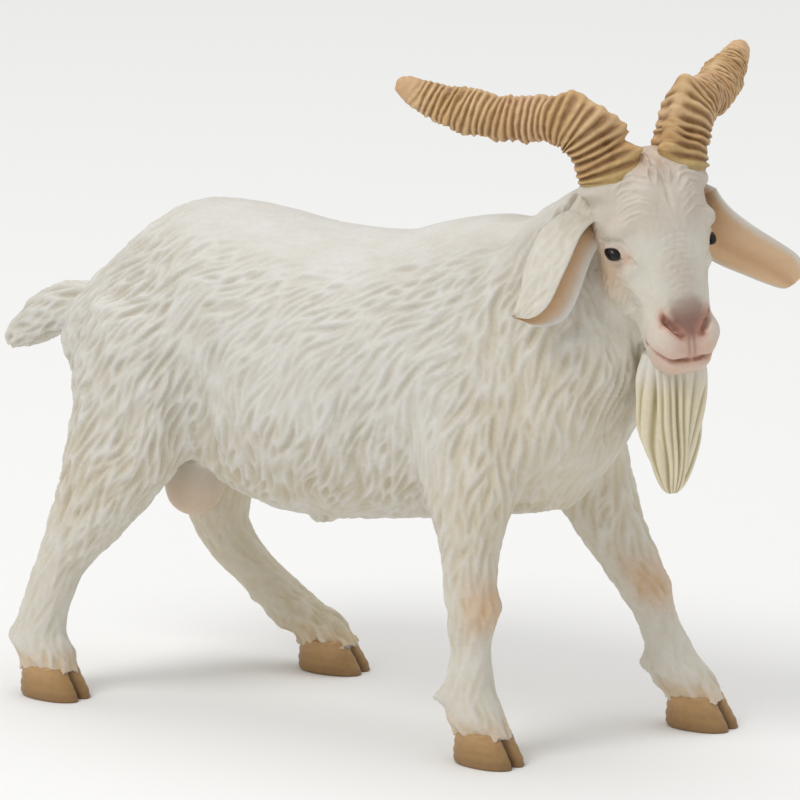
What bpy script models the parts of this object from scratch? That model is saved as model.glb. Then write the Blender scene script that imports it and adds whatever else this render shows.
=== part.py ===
"""A moulded plastic goat figurine, as the separate mouldings that plug together on pegs.

Run with: blender --background --python part.py

The goat faces +X and stands on z = 0, with +Y on its left. All tables are in millimetres.
The head is laid out in its own frame: t runs from the poll down the face to the lips, q points
out of the forehead, and left points to the goat's left.
"""

import math

import bmesh
import bpy
from mathutils import Matrix, Vector

MM = 0.001

# Driving dimensions, in millimetres.
GAP = 0.3  # clearance between two pieces that touch
SKIN_VOXEL = 0.8
HEAD_VOXEL = 0.5
HORN_VOXEL = 0.45
LEG_JOINT_Z = {"front_right": 25.0, "front_left": 24.5, "hind_right": 27.0, "hind_left": 24.0}
CORONET_Z = 4.3  # height of the joint between a leg and its hoof
HEAD_YAW = math.radians(-33)  # the goat looks to its right
HEAD_PITCH = math.radians(66)  # and carries its face steeply
HEAD_ROLL = math.radians(3)  # with its left cheek a little higher
POLL = Vector((16.5, -2.4, 73.1))  # top of the head, between the horns
HORN_BASE_SPREAD = 4.6  # from the middle of the poll to each horn's axis
HORN_ROOT_Q = -5.6  # and how far behind the forehead that axis is
NECK_JOINT_Q = -10.6  # depth behind the forehead of the joint between head and neck
SCROTUM = (-50.6, 0.3, 25.4)
SCROTUM_SIZE = (3.4, 3.6, 4.4)
EYE_PLACE = (9.6, 6.35, -4.9)  # of the left eye, in the head's frame
EYE_SIZE = (0.9, 0.7, 1.0)
LEG_PEG_RADIUS = 1.5
LEG_PEG_LENGTH = 4.0
HOOF_PEG_RADIUS = 1.2
HOOF_PEG_LENGTH = 2.6
HOOF_PEG_DEPTH = 1.6  # how far a hoof's peg starts below its top
HEAD_PEG_RADIUS = 3.0
HORN_PEG_RADIUS = 1.6
EAR_PEG_RADIUS = 0.8
BEARD_PEG_RADIUS = 1.2
TAIL_PEG_RADIUS = 1.3
DEWCLAW_SIZE = (1.3, 1.0, 1.5)
LEG_CLEARANCE = 9.0  # room around a leg in the box that cuts it off
LEG_INNER_Y = 4.6  # that box starts here, beside the middle of the trunk
LEG_OUTER_Y = 30.0
BEYOND = 60.0  # half the size of a cutter that is larger than what it cuts
BODY_TRIANGLES = 3200
HEAD_TRIANGLES = 1400
HORN_TRIANGLES = 560

COAT = (0.78, 0.75, 0.68)
HORN_COLOUR = (0.55, 0.36, 0.16)
HOOF_COLOUR = (0.50, 0.33, 0.18)
BEARD_COLOUR = (0.62, 0.56, 0.40)
EYE_COLOUR = (0.01, 0.01, 0.01)

FORWARD = Vector((math.cos(HEAD_YAW), math.sin(HEAD_YAW), 0))
UP = Vector((0, 0, 1))
LEVEL_LEFT = UP.cross(FORWARD)
LEFT = LEVEL_LEFT * math.cos(HEAD_ROLL) + UP * math.sin(HEAD_ROLL)
CREST = FORWARD.cross(LEFT)  # out of the top of the head
FACE = FORWARD * math.cos(HEAD_PITCH) - CREST * math.sin(HEAD_PITCH)
BROW = FORWARD * math.sin(HEAD_PITCH) + CREST * math.cos(HEAD_PITCH)
HEAD_TURN = Matrix((FACE, LEFT, BROW)).transposed()

# Rings of the trunk: centre x, y, z, then half-width, height above and depth below the centre.
TRUNK = [
    ((-66.0, 0, 46), 3.0, 2.6, 5.0),
    ((-63.6, 0, 45), 8.0, 6.4, 8.0),
    ((-58, 0, 44), 11.5, 11.6, 11.0),
    ((-50, 0, 44), 13.5, 16.5, 14.5),
    ((-42, 0, 44), 14.3, 17.0, 18.0),
    ((-34, 0, 43), 15.2, 16.9, 19.4),
    ((-26, 0, 43), 15.6, 16.6, 19.2),
    ((-18, 0, 43), 15.2, 17.3, 18.0),
    ((-10, 0, 44), 14.3, 18.6, 17.5),
    ((-2, 0, 45), 13.3, 18.6, 17.5),
    ((5, 0, 45), 11.5, 15.0, 16.0),
    ((10, 0, 44), 8.4, 10.0, 11.0),
    ((12.2, 0, 43), 3.5, 5.0, 6.0),
]

# Rings of the neck: centre, then half-width, reach to the nape and reach to the throat.
NECK = [
    ((-1, 0, 46), 12.0, 12.0, 12.0),
    ((1, 0, 53), 10.6, 10.5, 11.0),
    ((4.5, -0.2, 59.5), 9.4, 8.0, 8.5),
    ((8, -0.6, 64.5), 8.2, 5.4, 7.5),
    ((10.8, -1.2, 68), 6.6, 3.8, 6.0),
]

# Rings of each leg, from inside the trunk down: centre, half-width, reach forward and reach back.
LEGS = {
    "front_right": [
        ((-6, -8.5, 42), 5.8, 8.0, 9.0),
        ((-5, -10.4, 36), 5.5, 7.4, 7.2),
        ((-4.3, -11.8, 30.5), 4.8, 5.8, 5.2),
        ((-3.7, -12.5, 25.8), 3.7, 4.0, 3.8),
        ((-3.4, -13.2, 21.5), 3.3, 3.6, 3.4),
        ((-2.8, -13.6, 18.5), 3.2, 3.5, 3.2),
        ((-2.7, -13.9, 16.0), 2.9, 2.9, 2.9),
        ((-2.6, -14.2, 13.0), 2.6, 2.6, 2.7),
        ((-2.4, -14.5, 10.0), 2.8, 2.9, 3.0),
        ((-2.1, -14.7, 7.2), 3.2, 3.2, 3.4),
        ((-1.0, -14.9, 4.6), 3.5, 3.7, 3.7),
        ((-0.7, -14.9, 3.0), 3.6, 3.9, 3.8),
    ],
    "front_left": [
        ((-4, 8.5, 42), 5.8, 8.0, 9.0),
        ((-2.4, 10.2, 35), 5.2, 6.6, 7.4),
        ((-0.4, 11.2, 29), 4.5, 5.2, 5.8),
        ((1.5, 11.7, 24.5), 3.9, 4.3, 4.5),
        ((3.5, 12.2, 20.9), 3.5, 3.8, 3.9),
        ((5.0, 12.6, 17.9), 3.2, 3.5, 3.4),
        ((6.6, 12.9, 15.0), 2.8, 2.9, 2.9),
        ((7.7, 13.0, 12.2), 2.6, 2.7, 2.7),
        ((9.0, 13.2, 9.0), 2.8, 2.9, 3.0),
        ((10.1, 13.3, 6.4), 3.2, 3.3, 3.4),
        ((11.8, 13.4, 4.3), 3.5, 3.7, 3.6),
        ((12.3, 13.4, 3.0), 3.6, 3.9, 3.7),
    ],
    "hind_right": [
        ((-50, -7.5, 46), 7.5, 11.0, 9.6),
        ((-52.3, -9.8, 39), 6.6, 10.5, 8.0),
        ((-54.4, -11.2, 32), 5.8, 8.8, 6.2),
        ((-56.4, -11.8, 26.5), 4.9, 6.8, 5.4),
        ((-58.1, -12.4, 22.0), 3.9, 4.9, 4.5),
        ((-59.8, -12.9, 19.0), 3.4, 3.7, 3.9),
        ((-61.1, -13.2, 16.3), 3.0, 3.1, 3.3),
        ((-62.5, -13.8, 12.6), 2.9, 3.1, 3.1),
        ((-63.3, -14.2, 9.2), 3.0, 3.2, 3.2),
        ((-63.4, -14.4, 6.6), 3.2, 3.3, 3.4),
        ((-62.3, -14.5, 4.4), 3.5, 3.8, 3.7),
        ((-61.9, -14.5, 3.0), 3.6, 4.0, 3.8),
    ],
    "hind_left": [
        ((-48, 7.5, 44), 7.5, 11.0, 10.0),
        ((-50.5, 9.4, 36), 6.3, 9.2, 8.0),
        ((-52.6, 10.6, 28), 5.0, 6.8, 5.8),
        ((-53.8, 11.3, 22), 4.0, 4.7, 4.6),
        ((-53.6, 11.7, 17.5), 3.4, 3.5, 3.9),
        ((-51.8, 12.4, 14.0), 3.0, 3.0, 3.2),
        ((-48.9, 13.0, 11.0), 2.7, 2.7, 2.8),
        ((-45.7, 13.5, 8.2), 2.9, 2.9, 3.0),
        ((-43.5, 13.7, 6.2), 3.2, 3.2, 3.3),
        ((-40.8, 13.8, 4.4), 3.4, 3.6, 3.5),
        ((-40.0, 13.8, 3.0), 3.6, 3.9, 3.7),
    ],
}

# Middle of each hoof's sole: x, y and the turn of its toe from +X, in degrees.
HOOVES = {
    "front_right": (0.5, -14.9, -8),
    "front_left": (13.7, 13.4, 0),
    "hind_right": (-61.1, -14.5, -6),
    "hind_left": (-38.5, 13.8, 4),
}
HOOF_LENGTH = 9.0
HOOF_WIDTH = 6.2
# Levels of a hoof: height, lean of its middle towards the toe, and size against the widest level.
HOOF_LEVELS = [
    (0, 0, 0.97),
    (0.6, -0.1, 1.0),
    (2.2, -0.7, 0.95),
    (3.6, -1.1, 0.86),
    (CORONET_Z, -1.2, 0.843),
]
CLEFT_WIDTH = 0.7
CLEFT_LENGTH = 3.6
CLEFT_HEIGHT = 5.5

# Rings of the head: t, q of the middle, half-width, reach to the brow and reach to the jaw.
HEAD = [
    (-3.0, -6.7, 4.0, 2.8, 2.6),
    (-1.0, -6.9, 5.8, 4.8, 4.6),
    (2.0, -6.9, 6.9, 6.3, 6.0),
    (6.0, -6.9, 7.3, 7.0, 7.0),
    (10.0, -6.7, 6.6, 6.3, 6.8),
    (13.5, -6.4, 5.4, 5.7, 6.0),
    (17.0, -6.1, 4.5, 4.5, 5.2),
    (20.0, -6.1, 4.3, 3.7, 4.7),
    (22.8, -6.4, 3.9, 2.8, 4.0),
    (24.6, -6.8, 2.7, 1.7, 2.6),
]

# Swellings of the left half of the head: place in the head's frame, and half-axes.
HEAD_SWELLINGS = [
    ((7.6, 5.1, -5.0), (2.8, 2.1, 2.2)),  # brow
    ((11.5, 3.6, -9.6), (5.4, 2.6, 3.8)),  # jaw
    ((20.4, 2.5, -4.0), (2.2, 1.8, 1.8)),  # nostril
]

# Middle line of a horn, from its root: outward, backward, upward, and its radius there.
HORN = [
    (-0.2, -0.2, -1.8, 3.2),
    (0, 0, 0.2, 3.35),
    (1.0, 1.0, 2.9, 3.3),
    (2.3, 2.1, 5.3, 3.4),
    (4.2, 3.8, 6.4, 3.0),
    (6.3, 6.2, 6.3, 2.65),
    (9.0, 9.1, 6.0, 2.8),
    (11.7, 12.1, 6.4, 2.8),
    (14.3, 15.0, 7.2, 2.45),
    (16.5, 17.1, 8.2, 1.9),
    (17.9, 18.3, 9.2, 1.4),
    (18.8, 19.1, 10.0, 0.8),
]

# Length of each ear, outward, backward and upward from its root.
EARS = {"right": (10.2, -3.6, -10.1), "left": (12.0, -4.0, -11.2)}
EAR_ROOT = (4.6, 6.9, -9.3)  # of the left ear, in the head's frame
EAR_SAG = (0.9, 0.4)  # outward and upward, halfway along
# Rings of an ear: share of its length, half-width and half-thickness.
EAR = [
    (-0.06, 1.3, 1.0),
    (0.06, 1.7, 1.0),
    (0.25, 2.9, 1.0),
    (0.5, 3.5, 0.95),
    (0.75, 3.2, 0.9),
    (0.92, 2.1, 0.8),
    (1.0, 0.9, 0.6),
]

# Rings of the beard: forward and down from the chin, half-width and half-depth.
BEARD = [
    (-0.2, -1.2, 2.6, 1.6),
    (-0.2, 0.8, 3.7, 2.5),
    (-0.2, 3.5, 4.0, 2.7),
    (-0.1, 7.0, 3.7, 2.4),
    (0.1, 10.5, 2.8, 2.0),
    (0.2, 13.8, 1.8, 1.4),
    (0.2, 15.8, 0.8, 0.7),
]

# Rings of the tail: centre, half-width, reach up and reach down.
TAIL = [
    ((-62.5, 0, 46.0), 2.2, 2.2, 2.4),
    ((-65.6, 0, 45.6), 2.9, 2.9, 3.2),
    ((-69.2, 0, 44.6), 3.1, 2.9, 3.5),
    ((-72.8, 0, 42.4), 2.8, 2.5, 3.0),
    ((-75.6, 0, 40.4), 1.9, 1.7, 2.0),
    ((-76.9, 0, 39.3), 0.9, 0.8, 0.9),
]


def to_head(t, left, q):
    """A point of the head's own frame, in the goat's frame."""
    return POLL + FACE * t + LEFT * left + BROW * q


def between(before, start, end, after, share):
    """A value of a Catmull-Rom curve, between start and end."""
    straight = (end - before) * share + (before * 2 - start * 5 + end * 4 - after) * share**2
    return start + (straight + (start * 3 - before - end * 3 + after) * share**3) * 0.5


def flow(rings, steps):
    """The rings with more between them, on a smooth curve through all of them."""
    values = [(Vector(centre), Vector(sizes)) for centre, *sizes in rings]
    last = len(values) - 1
    smooth = []
    for i in range(last):
        around = [values[max(i - 1, 0)], values[i], values[i + 1], values[min(i + 2, last)]]
        for step in range(steps):
            share = step / steps
            smooth.append(tuple(between(*[v[k] for v in around], share) for k in (0, 1)))
    smooth.append(values[last])
    return smooth


def loft(rings, side_axis, sides=24, steps=3):
    """A closed tube through elliptical rings, whose upper and lower halves differ in height."""
    smooth = flow(rings, steps)
    form = bmesh.new()
    loops = []
    for i, (centre, (half_width, above, below)) in enumerate(smooth):
        along = smooth[min(i + 1, len(smooth) - 1)][0] - smooth[max(i - 1, 0)][0]
        along.normalize()
        side = (side_axis - along * side_axis.dot(along)).normalized()
        lift = along.cross(side)
        loop = []
        for k in range(sides):
            turn = 2 * math.pi * k / sides
            reach = above if math.sin(turn) > 0 else below
            point = centre + side * (half_width * math.cos(turn)) + lift * (reach * math.sin(turn))
            loop.append(form.verts.new(point * MM))
        loops.append(loop)
    for lower, upper in zip(loops, loops[1:]):
        for k in range(sides):
            form.faces.new((lower[k], lower[k - 1], upper[k - 1], upper[k]))
    form.faces.new(loops[0])
    form.faces.new(reversed(loops[-1]))
    bmesh.ops.recalc_face_normals(form, faces=form.faces)
    return form


def ball(centre, sizes, turn=None, fineness=3):
    """An ellipsoid with those half-axes, turned by a matrix."""
    form = bmesh.new()
    bmesh.ops.create_icosphere(form, subdivisions=fineness, radius=MM)
    matrix = (turn or Matrix.Identity(3)) @ Matrix.Diagonal(sizes)
    place = Matrix.Translation(Vector(centre) * MM) @ matrix.to_4x4()
    bmesh.ops.transform(form, matrix=place, verts=form.verts)
    return form


def new_object(name, forms, collection):
    """One mesh object from several closed forms, which may overlap."""
    whole = bmesh.new()
    for form in forms:
        part = bpy.data.meshes.new("part")
        form.to_mesh(part)
        form.free()
        whole.from_mesh(part)
        bpy.data.meshes.remove(part)
    mesh = bpy.data.meshes.new(name)
    whole.to_mesh(mesh)
    whole.free()
    obj = bpy.data.objects.new(name, mesh)
    collection.objects.link(obj)
    return obj


def evaluated(obj):
    """The object's mesh as its modifiers leave it."""
    graph = bpy.context.evaluated_depsgraph_get()
    return bpy.data.meshes.new_from_object(obj.evaluated_get(graph))


def fuse(obj, voxel, smoothing, triangles):
    """Melts the forms of an object into one skin, and thins it to about that many triangles."""
    remesh = obj.modifiers.new("Melt", "REMESH")
    remesh.mode = "VOXEL"
    remesh.voxel_size = voxel * MM
    smooth = obj.modifiers.new("Smooth", "SMOOTH")
    smooth.factor = 0.5
    smooth.iterations = smoothing
    count = sum(len(face.vertices) - 2 for face in evaluated(obj).polygons)
    thin = obj.modifiers.new("Thin", "DECIMATE")
    thin.ratio = triangles / count
    obj.data = evaluated(obj)
    obj.modifiers.clear()
    return obj


def clear_scene():
    for obj in list(bpy.data.objects):
        bpy.data.objects.remove(obj)


def boolean(obj, other, operation):
    """Cuts, joins or crosses an object with another one."""
    change = obj.modifiers.new(operation, "BOOLEAN")
    change.operation = operation
    change.object = other
    change.solver = "EXACT"
    obj.data = evaluated(obj)
    obj.modifiers.clear()


def helper(name, form, helpers):
    """A cutter, which the figurine doesn't keep."""
    obj = new_object(name, [form], helpers)
    obj.hide_render = True
    obj.display_type = "WIRE"
    return obj


def swollen(obj, helpers):
    """A copy of an object that stands out by the clearance, to cut its neighbours with."""
    copy = bpy.data.objects.new(obj.name + "_clearance", obj.data.copy())
    helpers.objects.link(copy)
    grow = copy.modifiers.new("Grow", "DISPLACE")
    grow.mid_level = 0
    grow.strength = GAP * MM
    copy.data = evaluated(copy)
    copy.modifiers.clear()
    copy.hide_render = True
    copy.display_type = "WIRE"
    return copy


def peg_form(start, end, radius):
    """A round peg between two points."""
    form = bmesh.new()
    length = (end - start).length * MM
    width = radius * MM
    bmesh.ops.create_cone(form, cap_ends=True, segments=16, radius1=width, radius2=width, depth=length)
    turn = (end - start).to_track_quat("Z", "Y").to_matrix().to_4x4()
    place = Matrix.Translation((start + end) * 0.5 * MM) @ turn
    bmesh.ops.transform(form, matrix=place, verts=form.verts)
    return form


def plug(piece, host, start, end, radius, helpers):
    """Gives a piece a peg from start, inside it, to end, inside its host, and the host a socket."""
    reach = (end - start).normalized() * GAP
    socket = helper(piece.name + "_socket", peg_form(start, end + reach, radius + GAP), helpers)
    boolean(host, socket, "DIFFERENCE")
    peg = helper(piece.name + "_peg", peg_form(start, end, radius), helpers)
    boolean(piece, peg, "UNION")


def box_form(low, high):
    """A box between two corners."""
    form = bmesh.new()
    low, high = Vector(low), Vector(high)
    size = Matrix.Diagonal((high - low) * MM).to_4x4()
    bmesh.ops.create_cube(form, size=1, matrix=Matrix.Translation((low + high) * 0.5 * MM) @ size)
    return form


def body_skin(collection):
    """Trunk, neck and legs as one skin, before it is cut into its mouldings."""
    forms = [loft(TRUNK, Vector((0, 1, 0)), sides=32), loft(NECK, Vector((0, 1, 0)), sides=28)]
    for rings in LEGS.values():
        forms.append(loft(rings, Vector((0, 1, 0)), sides=20))
        fetlock = Vector(rings[-3][0])
        for side in (-1.5, 1.5):
            forms.append(ball(fetlock + Vector((-3.3, side, 0.6)), DEWCLAW_SIZE))
    forms.append(ball(SCROTUM, SCROTUM_SIZE))
    return fuse(new_object("body", forms, collection), SKIN_VOXEL, 4, BODY_TRIANGLES)


def head_skin(collection):
    """Skull, brows, cheeks and muzzle as one skin."""
    rings = [(to_head(t, 0, q), *sizes) for t, q, *sizes in HEAD]
    forms = [loft(rings, LEFT, sides=28)]
    for side in (-1, 1):
        for (t, left, q), size in HEAD_SWELLINGS:
            forms.append(ball(to_head(t, side * left, q), size, HEAD_TURN))
    return fuse(new_object("head", forms, collection), HEAD_VOXEL, 4, HEAD_TRIANGLES)


def split_leg(name, body, parts, helpers):
    """Cuts a leg off the skin, flat under the trunk and above the hoof, and pegs it to the trunk."""
    rings = LEGS[name]
    side = math.copysign(1, rings[0][0][1])
    joint_z = LEG_JOINT_Z[name]
    below = [Vector(ring[0]) for ring in rings if ring[0][2] <= joint_z + 3]
    low_x = min(point.x for point in below) - LEG_CLEARANCE
    high_x = max(point.x for point in below) + LEG_CLEARANCE
    low_y, high_y = sorted((side * LEG_INNER_Y, side * LEG_OUTER_Y))
    leg = bpy.data.objects.new(name + "_leg", body.data.copy())
    parts.objects.link(leg)
    zone = box_form((low_x, low_y, CORONET_Z + GAP), (high_x, high_y, joint_z))
    boolean(leg, helper(name + "_zone", zone, helpers), "INTERSECT")
    clearing = box_form((low_x, low_y, -BEYOND), (high_x, high_y, joint_z + GAP))
    boolean(body, helper(name + "_clearing", clearing, helpers), "DIFFERENCE")
    top, inside = below[1], below[0]
    slope = (inside - top) / (inside.z - top.z)
    joint = top + slope * (joint_z - top.z)
    peg_start = joint - slope * LEG_PEG_LENGTH * 0.5
    plug(leg, body, peg_start, joint + slope * LEG_PEG_LENGTH, LEG_PEG_RADIUS, helpers)
    return leg


def make_hoof(name, leg, parts, helpers):
    """A cloven hoof with a flat sole, pegged up into its leg."""
    x, y, toe = HOOVES[name]
    middle = Vector((x, y, 0))
    along = Matrix.Rotation(math.radians(toe), 3, "Z") @ Vector((1, 0, 0))
    across = Vector((-along.y, along.x, 0))
    rings = []
    for height, lean, share in HOOF_LEVELS:
        reach = HOOF_LENGTH / 2 * share
        rings.append((middle + along * lean + UP * height, HOOF_WIDTH / 2 * share, reach, reach))
    hoof = new_object(name + "_hoof", [upright_loft(rings, along, across)], parts)
    toe_tip = middle + along * (HOOF_LENGTH / 2)
    turn = Matrix((along, across, UP)).transposed()
    wedge = ball(toe_tip + UP * 1.2, (CLEFT_LENGTH, CLEFT_WIDTH, CLEFT_HEIGHT), turn)
    boolean(hoof, helper(name + "_cleft", wedge, helpers), "DIFFERENCE")
    crown = middle - along * 1.3 + UP * CORONET_Z
    plug(hoof, leg, crown - UP * HOOF_PEG_DEPTH, crown + UP * HOOF_PEG_LENGTH, HOOF_PEG_RADIUS, helpers)
    return hoof


def upright_loft(rings, along, across, sides=20):
    """A closed stack of level ovals, squared a little at the sides."""
    form = bmesh.new()
    loops = []
    for centre, half_width, toe, heel in rings:
        loop = []
        for k in range(sides):
            turn = 2 * math.pi * k / sides
            reach = toe if math.cos(turn) > 0 else heel
            out = math.copysign(abs(math.cos(turn)) ** 0.85, math.cos(turn))
            wide = math.copysign(abs(math.sin(turn)) ** 0.75, math.sin(turn))
            loop.append(form.verts.new((centre + along * (reach * out) + across * (half_width * wide)) * MM))
        loops.append(loop)
    for lower, upper in zip(loops, loops[1:]):
        for k in range(sides):
            form.faces.new((lower[k], lower[k - 1], upper[k - 1], upper[k]))
    form.faces.new(loops[0])
    form.faces.new(reversed(loops[-1]))
    bmesh.ops.recalc_face_normals(form, faces=form.faces)
    return form


def outward(side, level=False):
    """Away from the middle of the head, to the goat's right or left, with the head's roll or level."""
    left = LEVEL_LEFT if level else LEFT
    return left if side == "left" else -left


def horn_point(side, out, back, up):
    """A point beside a horn's root. The horns sweep level, whatever the head's roll."""
    root = to_head(0, 0, HORN_ROOT_Q) + outward(side) * HORN_BASE_SPREAD
    return root + outward(side, level=True) * out - FORWARD * back + UP * up


def make_horn(side, head, parts, helpers):
    rings = [(horn_point(side, *place), radius, radius, radius) for *place, radius in HORN]
    form = loft(rings, LEFT, sides=20, steps=4)
    horn = fuse(new_object(side + "_horn", [form], parts), HORN_VOXEL, 1, HORN_TRIANGLES)
    boolean(horn, swollen(head, helpers), "DIFFERENCE")
    keep_largest(horn)
    start, end = horn_point(side, 0.4, 0.2, 3.4), horn_point(side, -0.6, 0.2, -2.8)
    plug(horn, head, start, end, HORN_PEG_RADIUS, helpers)
    return horn


def make_ear(side, head, parts, helpers):
    out, back, up = EARS[side]
    root_t, root_left, root_q = EAR_ROOT
    root = to_head(root_t, 0, root_q) + outward(side) * root_left
    length = outward(side) * out - FORWARD * back + UP * up
    sag = outward(side) * EAR_SAG[0] + UP * EAR_SAG[1]
    rings = []
    for share, half_width, half_thickness in EAR:
        centre = root + length * share + sag * (4 * share * (1 - share))
        rings.append((centre, half_width, half_thickness, half_thickness))
    facing = length.cross(FORWARD * 0.75 + outward(side) * 0.65)
    ear = new_object(side + "_ear", [loft(rings, facing.normalized(), sides=14, steps=2)], parts)
    boolean(ear, swollen(head, helpers), "DIFFERENCE")
    keep_largest(ear)
    start = root + length.normalized() * 2.2 + sag * 0.5
    plug(ear, head, start, root - outward(side) * 3.2 + UP * 1.0, EAR_PEG_RADIUS, helpers)
    return ear


def make_beard(head, body, parts, helpers):
    chin = to_head(22.6, 0, -9.2)
    rings = []
    for forward, down, half_width, half_depth in BEARD:
        rings.append((chin + FORWARD * forward - UP * down, half_width, half_depth, half_depth))
    beard = new_object("beard", [loft(rings, LEFT, sides=16, steps=2)], parts)
    for neighbour in (head, body):
        boolean(beard, swollen(neighbour, helpers), "DIFFERENCE")
        keep_largest(beard)
    plug(beard, head, chin - UP * 4, chin + UP * 2.2, BEARD_PEG_RADIUS, helpers)
    return beard


def make_tail(body, parts, helpers):
    tail = new_object("tail", [loft(TAIL, Vector((0, 1, 0)), sides=16, steps=2)], parts)
    boolean(tail, swollen(body, helpers), "DIFFERENCE")
    keep_largest(tail)
    plug(tail, body, Vector((-70.2, 0, 44.0)), Vector((-60.5, 0, 46.4)), TAIL_PEG_RADIUS, helpers)
    return tail


def make_eye(side, head, parts, helpers):
    """A bead set into the head, with its socket."""
    t, left, q = EYE_PLACE
    place = to_head(t, 0, q) + outward(side) * left
    eye = new_object(side + "_eye", [ball(place, EYE_SIZE, HEAD_TURN, fineness=2)], parts)
    room = ball(place, [size + GAP for size in EYE_SIZE], HEAD_TURN, fineness=2)
    boolean(head, helper(side + "_eye_socket", room, helpers), "DIFFERENCE")
    return eye


def join_head(head, body, helpers):
    """Cuts head and neck apart on a slanting plane behind the cheeks, and pegs them together."""
    below = ((-BEYOND, -BEYOND, -BEYOND), (BEYOND, BEYOND, 0))
    above = ((-BEYOND, -BEYOND, 0), (BEYOND, BEYOND, BEYOND))
    for obj, level, corners in ((head, NECK_JOINT_Q, below), (body, NECK_JOINT_Q - GAP, above)):
        form = box_form(*corners)
        place = Matrix.Translation((POLL + BROW * level) * MM) @ HEAD_TURN.to_4x4()
        bmesh.ops.transform(form, matrix=place, verts=form.verts)
        boolean(obj, helper(obj.name + "_joint", form, helpers), "DIFFERENCE")
        keep_largest(obj)
    start, end = to_head(7, 0, NECK_JOINT_Q + 3.5), to_head(9, 0, NECK_JOINT_Q - 5.5)
    plug(head, body, start, end, HEAD_PEG_RADIUS, helpers)


def keep_largest(obj):
    """Drops every loose scrap but the largest body."""
    form = bmesh.new()
    form.from_mesh(obj.data)
    left = set(form.verts)
    bodies = []
    while left:
        queue = [left.pop()]
        found = list(queue)
        while queue:
            for edge in queue.pop().link_edges:
                for vert in edge.verts:
                    if vert in left:
                        left.remove(vert)
                        queue.append(vert)
                        found.append(vert)
        bodies.append(found)
    bodies.sort(key=len)
    scraps = [vert for found in bodies[:-1] for vert in found]
    bmesh.ops.delete(form, geom=scraps, context="VERTS")
    form.to_mesh(obj.data)
    form.free()


def paint(obj, colour, roughness):
    """A plain plastic for one piece."""
    material = bpy.data.materials.new(obj.name)
    material.use_nodes = True
    surface = material.node_tree.nodes["Principled BSDF"]
    surface.inputs["Base Color"].default_value = (*colour, 1)
    surface.inputs["Roughness"].default_value = roughness
    surface.inputs["Metallic"].default_value = 0
    material.diffuse_color = (*colour, 1)
    obj.data.materials.clear()
    obj.data.materials.append(material)
    obj.data.shade_smooth()
    obj.data.set_sharp_from_angle(angle=math.radians(50))


def centre_on_base(parts):
    """Puts the middle of the figurine's outline over the origin and its soles at z = 0."""
    points = [vert.co for obj in parts.objects for vert in obj.data.vertices]
    low = Vector([min(point[i] for point in points) for i in range(3)])
    high = Vector([max(point[i] for point in points) for i in range(3)])
    shift = Vector(((low.x + high.x) / -2, (low.y + high.y) / -2, -low.z))
    for obj in parts.objects:
        obj.data.transform(Matrix.Translation(shift))


def main():
    clear_scene()
    parts = bpy.data.collections.new("goat_figurine")
    helpers = bpy.data.collections.new("cutters")
    bpy.context.scene.collection.children.link(parts)
    bpy.context.scene.collection.children.link(helpers)
    body = body_skin(parts)
    head = head_skin(parts)
    join_head(head, body, helpers)
    pieces = {"body": (body, COAT, 0.5), "head": (head, COAT, 0.5)}
    for side in ("right", "left"):
        pieces[side + "_horn"] = (make_horn(side, head, parts, helpers), HORN_COLOUR, 0.5)
        pieces[side + "_ear"] = (make_ear(side, head, parts, helpers), COAT, 0.5)
        pieces[side + "_eye"] = (make_eye(side, head, parts, helpers), EYE_COLOUR, 0.12)
    pieces["beard"] = (make_beard(head, body, parts, helpers), BEARD_COLOUR, 0.55)
    pieces["tail"] = (make_tail(body, parts, helpers), COAT, 0.5)
    for name in LEGS:
        leg = split_leg(name, body, parts, helpers)
        pieces[name + "_leg"] = (leg, COAT, 0.5)
        pieces[name + "_hoof"] = (make_hoof(name, leg, parts, helpers), HOOF_COLOUR, 0.45)
    for obj, colour, roughness in pieces.values():
        paint(obj, colour, roughness)
    centre_on_base(parts)


main()
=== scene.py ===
"""The looks of a moulded plastic goat figurine: sculpted fur, ribbed horns, painted face and hooves.

Lengths here are in millimetres until a mesh is made. The head has its own frame: t runs from the
poll down the face, l to the goat's left, and q out of the forehead.
"""

import functools
import math

import bmesh
import bpy
import numpy as np
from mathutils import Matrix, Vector
from mathutils.kdtree import KDTree


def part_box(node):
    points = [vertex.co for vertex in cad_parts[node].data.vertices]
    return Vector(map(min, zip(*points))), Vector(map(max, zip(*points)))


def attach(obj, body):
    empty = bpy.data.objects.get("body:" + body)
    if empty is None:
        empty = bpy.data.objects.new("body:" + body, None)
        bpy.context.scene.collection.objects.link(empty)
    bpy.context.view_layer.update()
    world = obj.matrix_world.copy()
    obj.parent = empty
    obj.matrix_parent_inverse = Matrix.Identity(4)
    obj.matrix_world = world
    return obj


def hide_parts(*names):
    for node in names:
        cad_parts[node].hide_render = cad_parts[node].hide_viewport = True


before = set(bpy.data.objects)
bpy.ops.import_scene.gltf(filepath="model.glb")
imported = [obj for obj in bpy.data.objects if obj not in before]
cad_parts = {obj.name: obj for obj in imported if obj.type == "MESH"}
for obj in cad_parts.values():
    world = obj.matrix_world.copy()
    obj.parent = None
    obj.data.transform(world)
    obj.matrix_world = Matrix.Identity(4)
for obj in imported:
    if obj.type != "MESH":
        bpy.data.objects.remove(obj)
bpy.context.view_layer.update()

MM = 0.001
ROUGH_VOXEL, SKIN_VOXEL = 0.6, 0.25  # before and after the trunk is sculpted
MOST_FACES = 190000  # in one piece
LEGS = ("front_right", "front_left", "hind_right", "hind_left")
HEAD_YAW, HEAD_PITCH, HEAD_ROLL = (math.radians(a) for a in (-33, 66, 3))
EYE_T, EYE_L, EYE_Q = 9.6, 6.35, -4.9  # where the left eye sits in the head's frame


def unit(v):
    """A vector, or each row of vectors, at length 1."""
    v = np.asarray(v, float)
    return v / np.maximum(np.linalg.norm(v, axis=-1, keepdims=True), 1e-9)


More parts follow.
